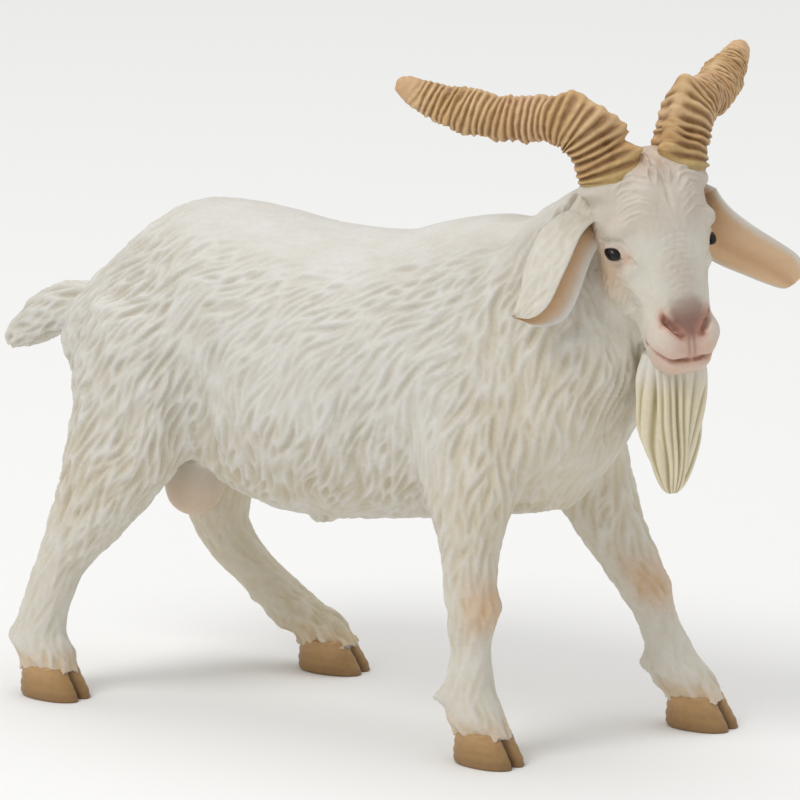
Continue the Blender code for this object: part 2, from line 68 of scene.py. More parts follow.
def node_box(node):
    """The lowest and highest corners of a CAD node, in millimetres."""
    low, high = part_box(node)
    return np.array(low) / MM, np.array(high) / MM


def node_middle(node):
    """The middle of a CAD node's box, in millimetres."""
    low, high = node_box(node)
    return (low + high) / 2


UP = np.array([0.0, 0.0, 1.0])
FORWARD = np.array([math.cos(HEAD_YAW), math.sin(HEAD_YAW), 0])
LEVEL_LEFT = np.cross(UP, FORWARD)
LEFT = LEVEL_LEFT * math.cos(HEAD_ROLL) + UP * math.sin(HEAD_ROLL)
CREST = np.cross(FORWARD, LEFT)
FACE = FORWARD * math.cos(HEAD_PITCH) - CREST * math.sin(HEAD_PITCH)
BROW = FORWARD * math.sin(HEAD_PITCH) + CREST * math.cos(HEAD_PITCH)
POLL = (node_middle("right_eye") + node_middle("left_eye")) / 2 - FACE * EYE_T - BROW * EYE_Q
HEAD_AXES = np.array([FACE, LEFT, BROW])
# The trunk's own frame: x is 0 at the front right hoof and y is 0 in the trunk's middle plane.
TRUNK = node_middle("front_right_hoof") * (1, 1, 0) + (-0.15, 14.87, 0)


def to_head(points):
    """Goat frame to head frame."""
    return (points - POLL) @ HEAD_AXES.T


def from_head(t, l, q):
    """Head frame to goat frame."""
    return POLL + FACE * t + LEFT * l + BROW * q


def smoothstep(low, high, value):
    """0 up to low, 1 from high on and smooth between; it falls instead if low is the larger."""
    share = np.clip((value - low) / (high - low), 0, 1)
    return share * share * (3 - 2 * share)


def bump(distance):
    """A soft bell that is 1 at 0 and 0 from 1 on."""
    return np.clip(1 - distance**2, 0, 1) ** 2


def mixed(values, other, share):
    """Rows of three numbers (colours or directions) blended toward others by each row's share."""
    return values * (1 - share[:, None]) + np.asarray(other, float) * share[:, None]


def bell(offset, width):
    """A bell curve that is 1 at no offset."""
    return np.exp(-(offset / width) ** 2)


def circle(count):
    """Angles spread evenly over a full turn."""
    return np.linspace(0, 2 * math.pi, count, endpoint=False)


# ---------------------------------------------------------------- meshes

class Skin:
    """A triangle mesh as arrays, in millimetres."""

    def __init__(self, verts, faces):
        self.v = verts
        self.f = faces
        self.first_normals = None

    @classmethod
    def of(cls, mesh):
        """The skin of a Blender mesh."""
        mesh.calc_loop_triangles()
        verts = np.empty(len(mesh.vertices) * 3, np.float32)
        mesh.vertices.foreach_get("co", verts)
        faces = np.empty(len(mesh.loop_triangles) * 3, np.int32)
        mesh.loop_triangles.foreach_get("vertices", faces)
        return cls(verts.reshape(-1, 3).astype(float) / MM, faces.reshape(-1, 3))

    def normals(self):
        """Each vertex's direction outward."""
        a, b, c = (self.v[self.f[:, i]] for i in range(3))
        across = np.cross(b - a, c - a)
        total = np.zeros_like(self.v)
        for i in range(3):
            for k in range(3):
                total[:, k] += np.bincount(self.f[:, i], across[:, k], len(self.v))
        return unit(total)

    def steady_normals(self):
        """The normals from before the sculpting began."""
        if self.first_normals is None:
            self.first_normals = self.normals()
        return self.first_normals

    def edges(self):
        """Each edge once, as two vertices."""
        pairs = np.sort(np.vstack([self.f[:, [0, 1]], self.f[:, [1, 2]], self.f[:, [2, 0]]]), axis=1)
        return np.unique(pairs, axis=0)

    def blur(self, values, times):
        """Evens out a value over each vertex's neighbours."""
        e = self.edges()
        count = np.bincount(e.ravel(), minlength=len(self.v))
        values = np.asarray(values, float).copy()
        for _ in range(times):
            flat = values.reshape(len(self.v), -1)
            total = np.stack([np.bincount(e[:, 0], flat[e[:, 1], k], len(self.v))
                              + np.bincount(e[:, 1], flat[e[:, 0], k], len(self.v))
                              for k in range(flat.shape[1])], axis=1)
            values = ((flat + total) / (1 + count)[:, None]).reshape(values.shape)
        return values


def mesh_from(name, skin):
    """A Blender mesh of a skin, in metres."""
    mesh = bpy.data.meshes.new(name)
    mesh.vertices.add(len(skin.v))
    mesh.vertices.foreach_set("co", (skin.v * MM).astype(np.float32).ravel())
    mesh.loops.add(len(skin.f) * 3)
    mesh.loops.foreach_set("vertex_index", skin.f.astype(np.int32).ravel())
    mesh.polygons.add(len(skin.f))
    mesh.polygons.foreach_set("loop_start", np.arange(0, len(skin.f) * 3, 3, dtype=np.int32))
    mesh.update(calc_edges=True)
    mesh.validate()
    return mesh


def with_modifiers(mesh, *steps):
    """The mesh after some modifiers, each given as its type and its settings."""
    obj = bpy.data.objects.new("work", mesh)
    bpy.context.scene.collection.objects.link(obj)
    for kind, settings in steps:
        modifier = obj.modifiers.new(kind, kind)
        for key, value in settings.items():
            setattr(modifier, key, value)
    graph = bpy.context.evaluated_depsgraph_get()
    result = bpy.data.meshes.new_from_object(obj.evaluated_get(graph))
    bpy.data.objects.remove(obj)
    return result


def groups(pairs, count):
    """For each of count points, the lowest-numbered point that the pairs link it to."""
    label = np.arange(count)
    while True:
        before = label.copy()
        low = np.minimum(label[pairs[:, 0]], label[pairs[:, 1]])
        np.minimum.at(label, pairs[:, 0], low)
        np.minimum.at(label, pairs[:, 1], low)
        label = label[label]
        if np.array_equal(before, label):
            return label


def in_largest_part(faces, count):
    """Which faces belong to the largest connected part."""
    part = groups(np.vstack([faces[:, [0, 1]], faces[:, [1, 2]]]), count)[faces[:, 0]]
    names, counts = np.unique(part, return_counts=True)
    return part == names[counts.argmax()]


def largest_part(skin):
    """The skin without the small closed hollows that a remesh leaves inside."""
    faces = skin.f[in_largest_part(skin.f, len(skin.v))]
    used, index = np.unique(faces.ravel(), return_inverse=True)
    return Skin(skin.v[used], index.reshape(-1, 3))


def joined(skins):
    """Several skins as one."""
    start, faces = 0, []
    for skin in skins:
        faces.append(skin.f + start)
        start += len(skin.v)
    return Skin(np.vstack([skin.v for skin in skins]), np.vstack(faces))


# ---------------------------------------------------------------- sculpting

def push(skin, centre, radius, amount, direction=None, axes=None):
    """Raises (or sinks) the skin around a point; radius may be three radii along axes."""
    axes = np.eye(3) if axes is None else axes
    away = ((skin.v - centre) @ axes.T) / np.asarray(radius, float)
    near = np.linalg.norm(away, axis=1)
    which = near < 1
    way = skin.steady_normals()[which] if direction is None else unit(direction)
    skin.v[which] += way * (bump(near[which]) * amount)[:, None]


def to_polyline(points, line, normals=None):
    """Distance from points to a polyline, and how far along it (0 to 1) the nearest place is.

    With the points' normals the distance has a sign: it is positive on the side of normal x line.
    """
    line = np.asarray(line, float)
    lengths = np.linalg.norm(np.diff(line, axis=0), axis=1)
    starts = np.concatenate([[0], np.cumsum(lengths)])
    best = np.full(len(points), 1e9)
    along = np.zeros(len(points))
    sign = np.ones(len(points))
    for i, (a, b) in enumerate(zip(line, line[1:])):
        share = np.clip(((points - a) @ (b - a)) / max(lengths[i] ** 2, 1e-9), 0, 1)
        apart = points - (a + share[:, None] * (b - a))
        distance = np.linalg.norm(apart, axis=1)
        closer = distance < best
        best[closer] = distance[closer]
        along[closer] = (starts[i] + share[closer] * lengths[i]) / starts[-1]
        if normals is not None:
            turned = np.einsum("ij,ij->i", np.cross(normals, b - a), apart)
            sign[closer] = np.where(turned[closer] < 0, -1, 1)
    return best * sign, along


def crease(skin, line, width, depth, taper=0.25):
    """A groove (or with a negative depth a ridge) along a polyline, tapering out at its ends."""
    low, high = np.min(line, 0) - width, np.max(line, 0) + width
    which = np.flatnonzero(np.all((skin.v > low) & (skin.v < high), axis=1))
    distance, along = to_polyline(skin.v[which], line)
    ends = smoothstep(0, taper, along) * smoothstep(0, taper, 1 - along)
    amount = bump(distance / width) * ends * depth
    skin.v[which] -= skin.steady_normals()[which] * amount[:, None]


# ---------------------------------------------------------------- fur

def kd_tree(points):
    """A tree that finds the points near a place."""
    tree = KDTree(len(points))
    for i, point in enumerate(points):
        tree.insert(point, i)
    tree.balance()
    return tree


STRIDE = 0.9  # about how far one step of a groove goes
FAINTEST = 0.03  # fur modelled more weakly than this is left out
LEAN = 0.38  # how far the floor of a groove lies toward its steep side


def trace(skin, normals, flow, tree, start, stride, steps, bend, taken, most):
    """Walks over the skin along the flow, swaying, until the steps run out or the ground is taken."""
    line, at = [], start
    here = skin.v[start].copy()
    for k in range(steps):
        n = normals[at]
        onward = flow[at] - n * (flow[at] @ n)
        size = math.sqrt(onward @ onward)
        if size < 0.02:
            break
        onward = onward / size
        sway = bend[0] * math.cos(bend[1] + bend[2] * k)
        here = here + (onward + np.cross(n, onward) * sway) * stride
        found, at, _ = tree.find(here)
        if taken[at] > most:
            break
        here = np.array(found)
        line.append(here)
    return line


def comb(skin, tree, normals, weight, flow, size, seed, passes, tries):
    """Carves moulded fur: lens-shaped grooves packed side by side, with crisp ridges left between them.

    flow gives a direction for each vertex; size gives each vertex's groove length, half-width and
    depth. Each pass has a scale for those, and how far a groove may lie over earlier ones. Each
    groove is steep on its hind side and shallow on the other. Each vertex's depth comes back.
    """
    rng = np.random.RandomState(seed)
    length, half_width, deep = size
    depth = np.zeros(len(skin.v))
    taken = np.zeros(len(skin.v))
    pool = np.flatnonzero(weight > FAINTEST)
    for scale, crowd in passes:
        starts = rng.choice(pool, size=tries)
        chances = rng.rand(tries, 6)
        for start, (longer, wider, bendier, skewed, phase, winding) in zip(starts, chances):
            if taken[start] > crowd:
                continue
            reach = length[start] * (0.55 + 0.45 * scale) * (0.6 + 0.8 * longer)
            width = half_width[start] * scale * (0.75 + 0.5 * wider)
            steps = max(int(reach / STRIDE), 3)
            stride = reach / steps
            sway = (0.08 + 0.24 * bendier, 6.28 * phase, (3.5 + 3 * winding) / steps)
            half = steps // 2
            most = crowd + 0.34
            after = trace(skin, normals, flow, tree, start, stride, steps - half, sway, taken, most)
            before = trace(skin, normals, -flow, tree, start, stride, half, sway, taken, most)
            line = np.array(before[::-1] + [skin.v[start]] + after)
            if len(line) < 4:
                continue
            near = set()
            for point in line:
                near.update(i for _, i, _ in tree.find_range(point, 2 * width + stride * 0.6))
            ids = np.fromiter(near, int)
            away, along = to_polyline(skin.v[ids], line, normals[ids])
            full = np.sin(np.pi * np.clip(along, 0.02, 0.98) ** (0.8 + 0.5 * skewed)) ** 0.6
            across = away / (width * np.maximum(full, 0.3))
            taken[ids] = np.maximum(taken[ids], 1 - np.abs(across) / 2)
            lean = np.sign(np.cross(normals[start], line[-1] - line[0])[0])
            across = np.clip(across, -1, 1)
            across = across + LEAN * lean * (1 - across**2)
            hollow = (1 - across**2) * full * (0.65 + 0.35 * wider) * (0.4 + 0.6 * scale)
            depth[ids] = np.maximum(depth[ids], hollow * deep[ids] * weight[ids])
    return depth


# ---------------------------------------------------------------- the white skin

# Where the skin is cut into pieces, as the CAD is.
LEG_JOINT_Z = {"front_right": 25.0, "front_left": 24.5, "hind_right": 27.0, "hind_left": 24.0}
NECK_JOINT_Q = -10.6
TAIL_JOINT_X = -66.2
TAIL_LOWEST_Z = 32
# Heights of the joints in the legs.
KNEE_Z = {"front_right": 18.3, "front_left": 17.0}
HOCK_Z = {"hind_right": 21.0, "hind_left": 18.5}
SCROTUM = np.array([-50.6, 0.3, 25.2])  # its middle, in the trunk's frame
FRINGE_Z = 3.5  # the fur ends here, over the hooves
COAT_PIECES = ["body", "head"] + [n + "_leg" for n in LEGS] + ["tail"]
FINE_Q = -9.6  # the skin in front of this is at twice the detail
# The crease between the barrel and the thigh: x and z of its places.
FLANK_CREASE = [(-38.2, 53), (-39.4, 45.5), (-40.4, 38), (-41.2, 33)]
# Muscles and hollows of the trunk's left side: the place, three radii and the height.
MUSCLES = [
    ((-53, 12, 43), (11, 8, 12), 0.9),  # haunch
    ((-42, 13, 36), (4.2, 6, 13), -1.3),  # flank hollow before the thigh
    ((-8, 12.5, 42), (8, 7, 11), 1.0),  # shoulder
    ((-17, 13, 38), (5, 6, 11), -0.6),  # behind the shoulder
    ((-29, 15, 38), (11, 6, 12), 0.7),  # barrel
    ((4, 9, 40), (5, 5, 8), 0.7),  # point of the shoulder
]
# Bulges and hollows of a knee and of a hock: how far above the joint, the place against the leg's
# middle line there, three radii and the height.
KNEE = [
    (0, (3.0, 0, 0), (2.6, 3.4, 3.0), 0.5),
    (-5, (0, 2.4, 0), (3, 1.6, 4.5), -0.35),
    (-5, (0, -2.4, 0), (3, 1.6, 4.5), -0.35),
]
HOCK = [
    (0, (-3.6, 0, 1.0), (2.4, 2.6, 3.0), 0.6),
    (3.5, (-2.6, 2.6, 0), (2.4, 2.0, 4.0), -0.5),
    (3.5, (-2.6, -2.6, 0), (2.4, 2.0, 4.0), -0.5),
]
# The painted mouth line of the left side and the slit of the left nostril, in the head's frame.
MOUTH = [(23.4, 0, -4.1), (23.3, 1.2, -4.3), (23.1, 2.3, -4.6), (22.2, 3.4, -5.0), (21.2, 4.0, -5.5),
         (20.3, 4.2, -6.1)]
NOSTRIL = [(18.0, 3.0, -3.1), (18.8, 2.8, -2.9), (19.8, 2.2, -2.7), (20.8, 1.3, -2.7)]
# Bulges and hollows of the left side of the face: the place in the head's frame, three radii and
# the height.
FACE_FORMS = [
    ((EYE_T, EYE_L + 0.3, EYE_Q), (2.5, 2.4, 2.6), -0.15),  # eye socket
    ((6.9, 5.6, -3.7), (1.6, 2.6, 3.2), 0.75),  # brow
    ((12.0, 5.6, -5.0), (1.2, 2.0, 2.4), 0.3),  # lower lid
    ((13.2, 4.6, -3.4), (2.8, 2.0, 2.0), -0.5),  # hollow before the eye
    ((12.0, 5.4, -9.0), (4.2, 2.4, 3.4), 0.45),  # cheek
    ((15.6, 4.6, -7.0), (3.0, 1.8, 2.6), -0.45),  # below the cheekbone
    ((20.2, 3.6, -4.8), (2.4, 2.2, 2.2), 0.5),  # side of the muzzle
    ((22.2, 2.2, -4.0), (1.6, 2.0, 1.8), 0.35),  # upper lip
    ((3.4, 2.8, -0.6), (3.0, 2.4, 2.0), 0.3),  # forehead boss
]
PHILTRUM_L = 0.35  # how far from the middle each line between the nose and the lip is
LID_LONG, LID_SHORT = 1.2, 0.84  # half the length and half the height of the ring of lids
LID_TILT = (0.68, 0.73)  # cosine and sine of how far that ring leans


def lid_ring():
    """Places around the left eye, on the rim of its lids."""
    ring = []
    for k in range(13):
        turn = 2 * math.pi * k / 12
        u, w = LID_LONG * math.cos(turn), LID_SHORT * math.sin(turn)
        ring.append((EYE_T - 0.3 + LID_TILT[0] * u - LID_TILT[1] * w, EYE_L + 0.3,
                     EYE_Q - 0.5 + LID_TILT[1] * u + LID_TILT[0] * w))
    return ring


# Grooves (and with a negative depth ridges) of the left side of the face: the line, its half-width,
# its depth and the share of it that tapers out at each end.
FACE_CREASES = [
    (NOSTRIL, 0.6, 0.95, 0.3),
    ([(t - 0.75, l - 0.45, q + 0.4) for t, l, q in NOSTRIL[:3]], 0.8, -0.4, 0.25),  # wing of the nostril
    ([(16.6, 2.6, -2.2), (17.0, 1.6, -1.6), (17.0, 0.4, -1.5)], 0.6, 0.14, 0.25),  # edge of the nose pad
    (MOUTH, 0.45, 0.55, 0.12),
    ([(t + 0.9, l, q - 0.4) for t, l, q in MOUTH[:4]], 0.7, -0.2, 0.3),  # lower lip
    (lid_ring(), 0.4, -0.3, 0.001),
    ([(10.2, 6.1, -3.8), (10.9, 5.6, -3.2), (12.2, 5.2, -2.8)], 0.45, 0.3, 0.25),  # tear duct
    ([(7.6, 6.6, -6.2), (7.5, 6.5, -4.6), (8.3, 6.2, -3.4), (9.6, 5.8, -2.9)], 0.5, 0.24, 0.25),  # lid fold
]


def close_to(points, node, margin):
    """Which points are inside a CAD node's box, or within a margin of it."""
    low, high = node_box(node)
    return np.all((points > low - margin) & (points < high + margin), axis=1)


def leg_masks(v):
    """For each leg, which vertices are on it below its joint."""
    z = v[:, 2]
    return {name: (z < LEG_JOINT_Z[name] + 0.15) & close_to(v, name + "_leg", np.array([1.2, 0.9, 6]))
            for name in LEGS}


def leg_line(v, mask):
    """The middle of a leg at each height, as three arrays: z, x and y."""
    points = v[mask]
    levels = np.arange(3.0, points[:, 2].max(), 1.0)
    middles = []
    for z in levels:
        ring = points[np.abs(points[:, 2] - z) < 0.7]
        middles.append((ring[:, :2].min(0) + ring[:, :2].max(0)) / 2)
    return levels, np.array(middles)


def melted(skin, voxel, smoothings):
    """A skin remade at a voxel size and smoothed, without the hollows inside it."""
    mesh = with_modifiers(mesh_from("melted", skin), ("REMESH", {"mode": "VOXEL", "voxel_size": voxel * MM}),
                          ("SMOOTH", {"factor": 0.5, "iterations": smoothings}))
    return largest_part(Skin.of(mesh))


def rough_skin():
    """All white nodes and the hooves melted into one smooth skin, with the head at twice the detail."""
    names = ["body", "head", "tail"] + [n + "_leg" for n in LEGS] + [n + "_hoof" for n in LEGS]
    parts = [Skin.of(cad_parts[n].data) for n in names] + [horn_socket("right"), horn_socket("left")]
    skin = melted(joined(parts), ROUGH_VOXEL, 6)
    sculpt_trunk(skin)
    skin = melted(skin, SKIN_VOXEL, 4)
    form = bmesh.new()
    form.from_mesh(mesh_from("whole", skin))
    on_head = (skin.v - POLL) @ BROW > FINE_Q
    form.verts.ensure_lookup_table()
    edges = [e for e in form.edges if on_head[e.verts[0].index] and on_head[e.verts[1].index]]
    bmesh.ops.subdivide_edges(form, edges=edges, cuts=1, smooth=0.4, use_grid_fill=True)
    bmesh.ops.triangulate(form, faces=form.faces)
    fine = bpy.data.meshes.new("fine_head")
    form.to_mesh(fine)
    form.free()
    return Skin.of(fine)


def horn_socket(side):
    """A short stump of skin around a horn's root."""
    path, run = smooth_curve(HORN, HORN_RINGS)
    middle, along = horn_line(side, path)
    turn = circle(24)
    rings = []
    for k in np.flatnonzero(run < SOCKET_TOP)[::4]:
        first = unit(np.cross(along[k], FORWARD))
        second = np.cross(along[k], first)
        r = path[k, 3] + 0.3 + 0.6 * (1 - run[k] / SOCKET_TOP)
        rings.append(middle[k] + r * (np.outer(np.cos(turn), first) + np.outer(np.sin(turn), second)))
    return outward_faces(swept(rings))


def on_skin(skin, places):
    """The skin's vertices nearest to some places."""
    return np.array([skin.v[np.argmin(np.sum((skin.v - place) ** 2, axis=1))] for place in places])


def on_face(skin, places):
    """The same for places in the head's frame."""
    return on_skin(skin, [from_head(*place) for place in places])


def sculpt_trunk(skin):
    """Muscles and hollows under the fur."""
    for side in (-1, 1):
        for (x, y, z), radii, height in MUSCLES:
            push(skin, TRUNK + (x, side * y, z), radii, height)
        crease(skin, on_skin(skin, [TRUNK + (x, side * 22, z) for x, z in FLANK_CREASE]), 2.2, 0.9)
    push(skin, TRUNK + (8, 0, 36), (5, 4, 8), 0.9)  # brisket
    push(skin, TRUNK + (-30, -3, 23.5), (2.4, 1.2, 2.4), 0.9)  # sheath
    push(skin, TRUNK + SCROTUM + (0.8, 0, -0.6), (6, 6, 5.5), 1.0)
    for name, mask in leg_masks(skin.v).items():
        sculpt_leg(skin, name, mask)


def sculpt_leg(skin, name, mask):
    """The dewclaws, and the knee or the hock."""
    levels, middles = leg_line(skin.v, mask)
    heel = skin.v[mask][skin.v[mask][:, 2] < 8]
    behind = heel[heel[:, 0].argmin()]
    push(skin, behind, (1.4, 2.2, 1.3), 0.7, direction=(-1.0, 0, -0.4))  # the dewclaws
    push(skin, behind - (0, 0, 1.9), (1.8, 3.0, 0.9), -1.1)  # the notch under them
    joint, forms = (KNEE_Z[name], KNEE) if name in KNEE_Z else (HOCK_Z[name], HOCK)
    for above, away, radii, height in forms:
        z = joint + above
        middle = np.array([np.interp(z, levels, middles[:, 0]), np.interp(z, levels, middles[:, 1]), z])
        push(skin, middle + away, radii, height)


def sculpt_head(skin):
    """The forms of the face, then its lines, then the curls and wrinkles of its short hair."""
    for side in (-1, 1):
        def places(*points):
            return on_face(skin, [(t, side * l, q) for t, l, q in points])
        for (t, l, q), radii, height in FACE_FORMS:
            push(skin, from_head(t, side * l, q), radii, height, axes=HEAD_AXES)
        for line, half_width, depth, taper in FACE_CREASES:
            crease(skin, places(*line), half_width, depth, taper)
        for k in range(11):  # curls arching over the brow
            t = 0.2 + 0.62 * k
            slip = 0.35 * math.sin(2.4 * k + side)
            arch = places((t + 1.0, 6.2 + slip, -3.4), (t - 0.1, 5.2, -1.6),
                          (t - 0.2 + 0.3 * slip, 3.9, -0.8), (t + 0.5, 2.6, -0.3),
                          (t + 1.7 - slip, 1.2 + slip, 0.0))
            crease(skin, arch, 0.36, -0.13 - 0.06 * math.sin(3.7 * k))
        for k in range(5):  # lines down the cheek
            run = [(11.2 + 1.1 * k, 6.2 - 0.35 * k, -6.2), (12.2 + 1.1 * k, 6.0 - 0.35 * k, -7.8),
                   (12.8 + 1.1 * k, 5.6 - 0.35 * k, -9.4)]
            crease(skin, places(*run), 0.4, 0.12)
    for k in range(12):  # wrinkles across the bridge of the nose
        t = 8.8 + 0.68 * k
        slip = 0.7 * math.sin(2.1 * k)
        across = [(t + 0.7, -2.6 + slip, -1.2), (t, -1.3 + slip, -0.7), (t - 0.1, 0.2 * slip, -0.6),
                  (t, 1.3 + slip, -0.7), (t + 0.7, 2.6 + slip, -1.2)]
        crease(skin, on_face(skin, across), 0.36, 0.075)
    crease(skin, on_face(skin, [(-1, 0, 0), (1.5, 0.1, 0), (4, 0, 0), (6.5, -0.1, 0)]), 0.5, 0.3)  # parting
    for k, l in enumerate((-1.7, -1.0, -0.4, 0.3, 0.9, 1.6)):  # the tuft between the horns
        tuft = [(-2.6, 0.8 * l, -3.0), (-0.8, 0.9 * l, -0.2), (1.0, l, 0), (2.8 + 0.5 * (k % 2), 1.1 * l, 0)]
        crease(skin, on_face(skin, tuft), 0.42, -0.4)
    for l in (-PHILTRUM_L, PHILTRUM_L):
        crease(skin, on_face(skin, [(20.6, l, -2.4), (21.8, l, -3.0), (23.2, l, -3.9)]), 0.3, 0.18)


def fur_fields(skin):
    """The flow of the coat, the size of its locks and how strongly it is modelled, vertex by vertex."""
    v = skin.v
    x, y, z = (v - TRUNK).T
    t, l, q = to_head(v).T
    n = skin.normals()

    # Which way the hair lies: steeply down on the flanks and flatter toward the back.
    slope = np.radians(71 - 36 * smoothstep(36, 55, z))
    flow = np.stack([-np.cos(slope), np.zeros_like(x), -np.sin(slope)], axis=1)
    neck = smoothstep(-9, 1, x) * smoothstep(20, 32, z)
    flow = mixed(flow, (-0.16, 0, -1.0), neck)
    thigh = smoothstep(-41, -48, x) * smoothstep(20, 28, z)
    flow = mixed(flow, (-0.62, 0, -0.85), thigh)
    rump = smoothstep(-52, -60, x) * smoothstep(38, 46, z)
    flow = mixed(flow, (-1.0, 0, -0.75), rump)
    waver = 0.22 * np.sin(0.45 * x + 0.3 * z) + 0.14 * np.sin(0.8 * z - 0.5 * x + 0.3 * y)
    flow = flow + np.stack([waver, 0.2 * np.sin(0.5 * x + 0.4 * z), np.zeros_like(x)], axis=1)

    # How long, wide and deep its locks are: longer on the neck, deeper on the belly and the hams,
    # and faint along the spine, on the chest and underneath.
    length = np.full(len(x), 9.0)
    half_width = np.full(len(x), 0.50)
    deep = np.full(len(x), 0.52)
    weight = np.ones_like(x)
    spine = smoothstep(0.55, 0.93, n[:, 2]) * smoothstep(46, 54, z)
    weight *= 1 - 0.82 * spine * (0.4 + 0.6 * smoothstep(-54, -44, x))
    chest = bump(np.sqrt(((x - 6) / 10) ** 2 + ((z - 34) / 9) ** 2 + (y / 30) ** 2)) * smoothstep(-3, 2, x)
    weight *= 1 - 0.6 * chest
    belly = smoothstep(33, 27, z) * smoothstep(-46, -42, x) * smoothstep(-6, -12, x)
    deep += 0.34 * belly
    length -= 2.5 * belly
    hams = smoothstep(-54, -60, x) * smoothstep(44, 38, z) * smoothstep(20, 26, z)
    deep += 0.14 * thigh + 0.16 * hams
    deep -= 0.08 * bump(np.hypot((x + 27) / 16, (z - 46) / 12))
    under = smoothstep(-0.6, -0.9, n[:, 2]) * smoothstep(-6, -12, x) * smoothstep(-60, -46, x)
    weight *= 1 - 0.6 * under
    length += 3.0 * neck
    half_width += 0.05 * neck
    deep += 0.14 * neck
    deep += 0.12 * smoothstep(44, 34, z) * smoothstep(-48, -44, x) * smoothstep(-4, -10, x)

    # Down the legs it gets finer, and ends in a ragged fringe over the hooves.
    for name, mask in leg_masks(v).items():
        levels, middles = leg_line(v - TRUNK, mask)
        gradient = np.gradient(middles, levels, axis=0)
        lower = z[mask]
        down = np.stack([-np.interp(lower, levels, gradient[:, 0]), -np.interp(lower, levels, gradient[:, 1]),
                         -np.ones(len(lower))], axis=1)
        share = smoothstep(LEG_JOINT_Z[name] + 1, LEG_JOINT_Z[name] - 6, lower)
        flow[mask] = mixed(flow[mask], down, share)
        half_width[mask] -= 0.14 * share
        deep[mask] -= (0.08 + 0.14 * smoothstep(17, 12, lower)) * share
        length[mask] -= 2.5 * share
        fringe = smoothstep(8.5, 5.0, lower)
        deep[mask] += 0.22 * fringe
        half_width[mask] += 0.08 * fringe

    # On the head it is short, and runs back from the face and down the cheeks.
    head = smoothstep(NECK_JOINT_Q - 1, NECK_JOINT_Q + 0.6, q) * close_to(v, "head", 1.0)
    cheek = smoothstep(2.8, 4.6, np.abs(l)) * smoothstep(-4, -8, q)
    flow = mixed(flow, mixed(-FACE, FACE * 0.55 - BROW * 0.85, cheek), head)
    length = length * (1 - head) + 3.0 * head
    half_width = half_width * (1 - head) + 0.30 * head
    deep = deep * (1 - head) + (0.07 + 0.17 * cheek) * head
    muzzle = smoothstep(15.5, 17.5, t) * head
    near_eyes = [bump(np.linalg.norm(to_head(v) - (EYE_T, side * EYE_L, EYE_Q), axis=1) / 2.8)
                 for side in (-1, 1)]
    around_eye = np.maximum.reduce(near_eyes) * head
    weight *= (1 - 0.95 * muzzle) * (1 - around_eye)

    scrotum = bump(np.linalg.norm((v - TRUNK - SCROTUM) / (5.2, 5.2, 6.2), axis=1)) * smoothstep(30, 28, z)
    scrotum = smoothstep(0.05, 0.25, scrotum)
    weight *= 1 - scrotum
    tail = smoothstep(TAIL_JOINT_X + 3, TAIL_JOINT_X - 1, x) * smoothstep(32, 35, z)
    flow = mixed(flow, (-0.95, 0, -0.5), tail)
    length -= 1.5 * tail
    half_width -= 0.08 * tail
    return {"flow": unit(flow), "size": (length, half_width, deep), "weight": weight, "scrotum": scrotum,
            "head": head, "neck": neck}


# Paints. The groove colour is partly a wash and partly painted shade in the fur's hollows.
WHITE = (0.705, 0.696, 0.668)
# Partly a wash and partly painted shade, darkening the grooves of the fur.
GROOVE_WASH_AND_SHADE = (0.50, 0.44, 0.32)
CREAM = (0.64, 0.555, 0.375)
TAN = (0.62, 0.38, 0.19)
PEACH = (0.68, 0.40, 0.25)
MAUVE = (0.36, 0.205, 0.17)
NOSE = (0.25, 0.125, 0.095)
LIP = (0.66, 0.34, 0.24)
DARK_LINE = (0.26, 0.10, 0.06)
PINK = (0.70, 0.52, 0.44)
SHADE = (0.55, 0.45, 0.37)


def layered(first, layers):
    """Coats of paint over a first colour: each is a colour, and how much of it each vertex gets."""
    colour = np.tile(np.array(first), (len(layers[0][1]), 1))
    for paint, share in layers:
        colour = mixed(colour, paint, share)
    return colour


def trunk_paint(skin, fields, groove):
    """The paint of the trunk, legs and tail: a wash with painted shade in the grooves, cream in the grooves
    and low down, tan knees and fetlocks.
    """
    x, _, z = (skin.v - TRUNK).T
    low = smoothstep(44, 25, z) * (1 - fields["head"])
    breast = fields["neck"] * smoothstep(66, 40, z)
    layers = [
        # Darker in each groove: partly a wash, partly painted shade.
        (GROOVE_WASH_AND_SHADE, 0.46 * groove),
        (CREAM, 0.5 * low * (0.3 + 0.7 * groove)),
        (CREAM, 0.5 * breast * (0.45 + 0.55 * groove)),
    ]
    for name, mask in leg_masks(skin.v).items():
        if name in KNEE_Z:
            levels, middles = leg_line(skin.v - TRUNK, mask)
            front = x - np.interp(z, levels, middles[:, 0])
            knee = bump((z - KNEE_Z[name] - 0.6) / 5.4) * smoothstep(-1.4, 2.0, front) * mask
            layers.append((TAN, knee * (0.55 + 0.3 * groove)))
        fetlock = smoothstep(7.0, 3.8, z) * mask
        layers.append((TAN, fetlock * (0.26 + 0.3 * groove)))
        if name == "hind_left":
            layers.append((CREAM, 0.4 * mask))
    layers.append((TAN, 0.5 * fields["scrotum"] * smoothstep(30, 23, z)))
    return layers


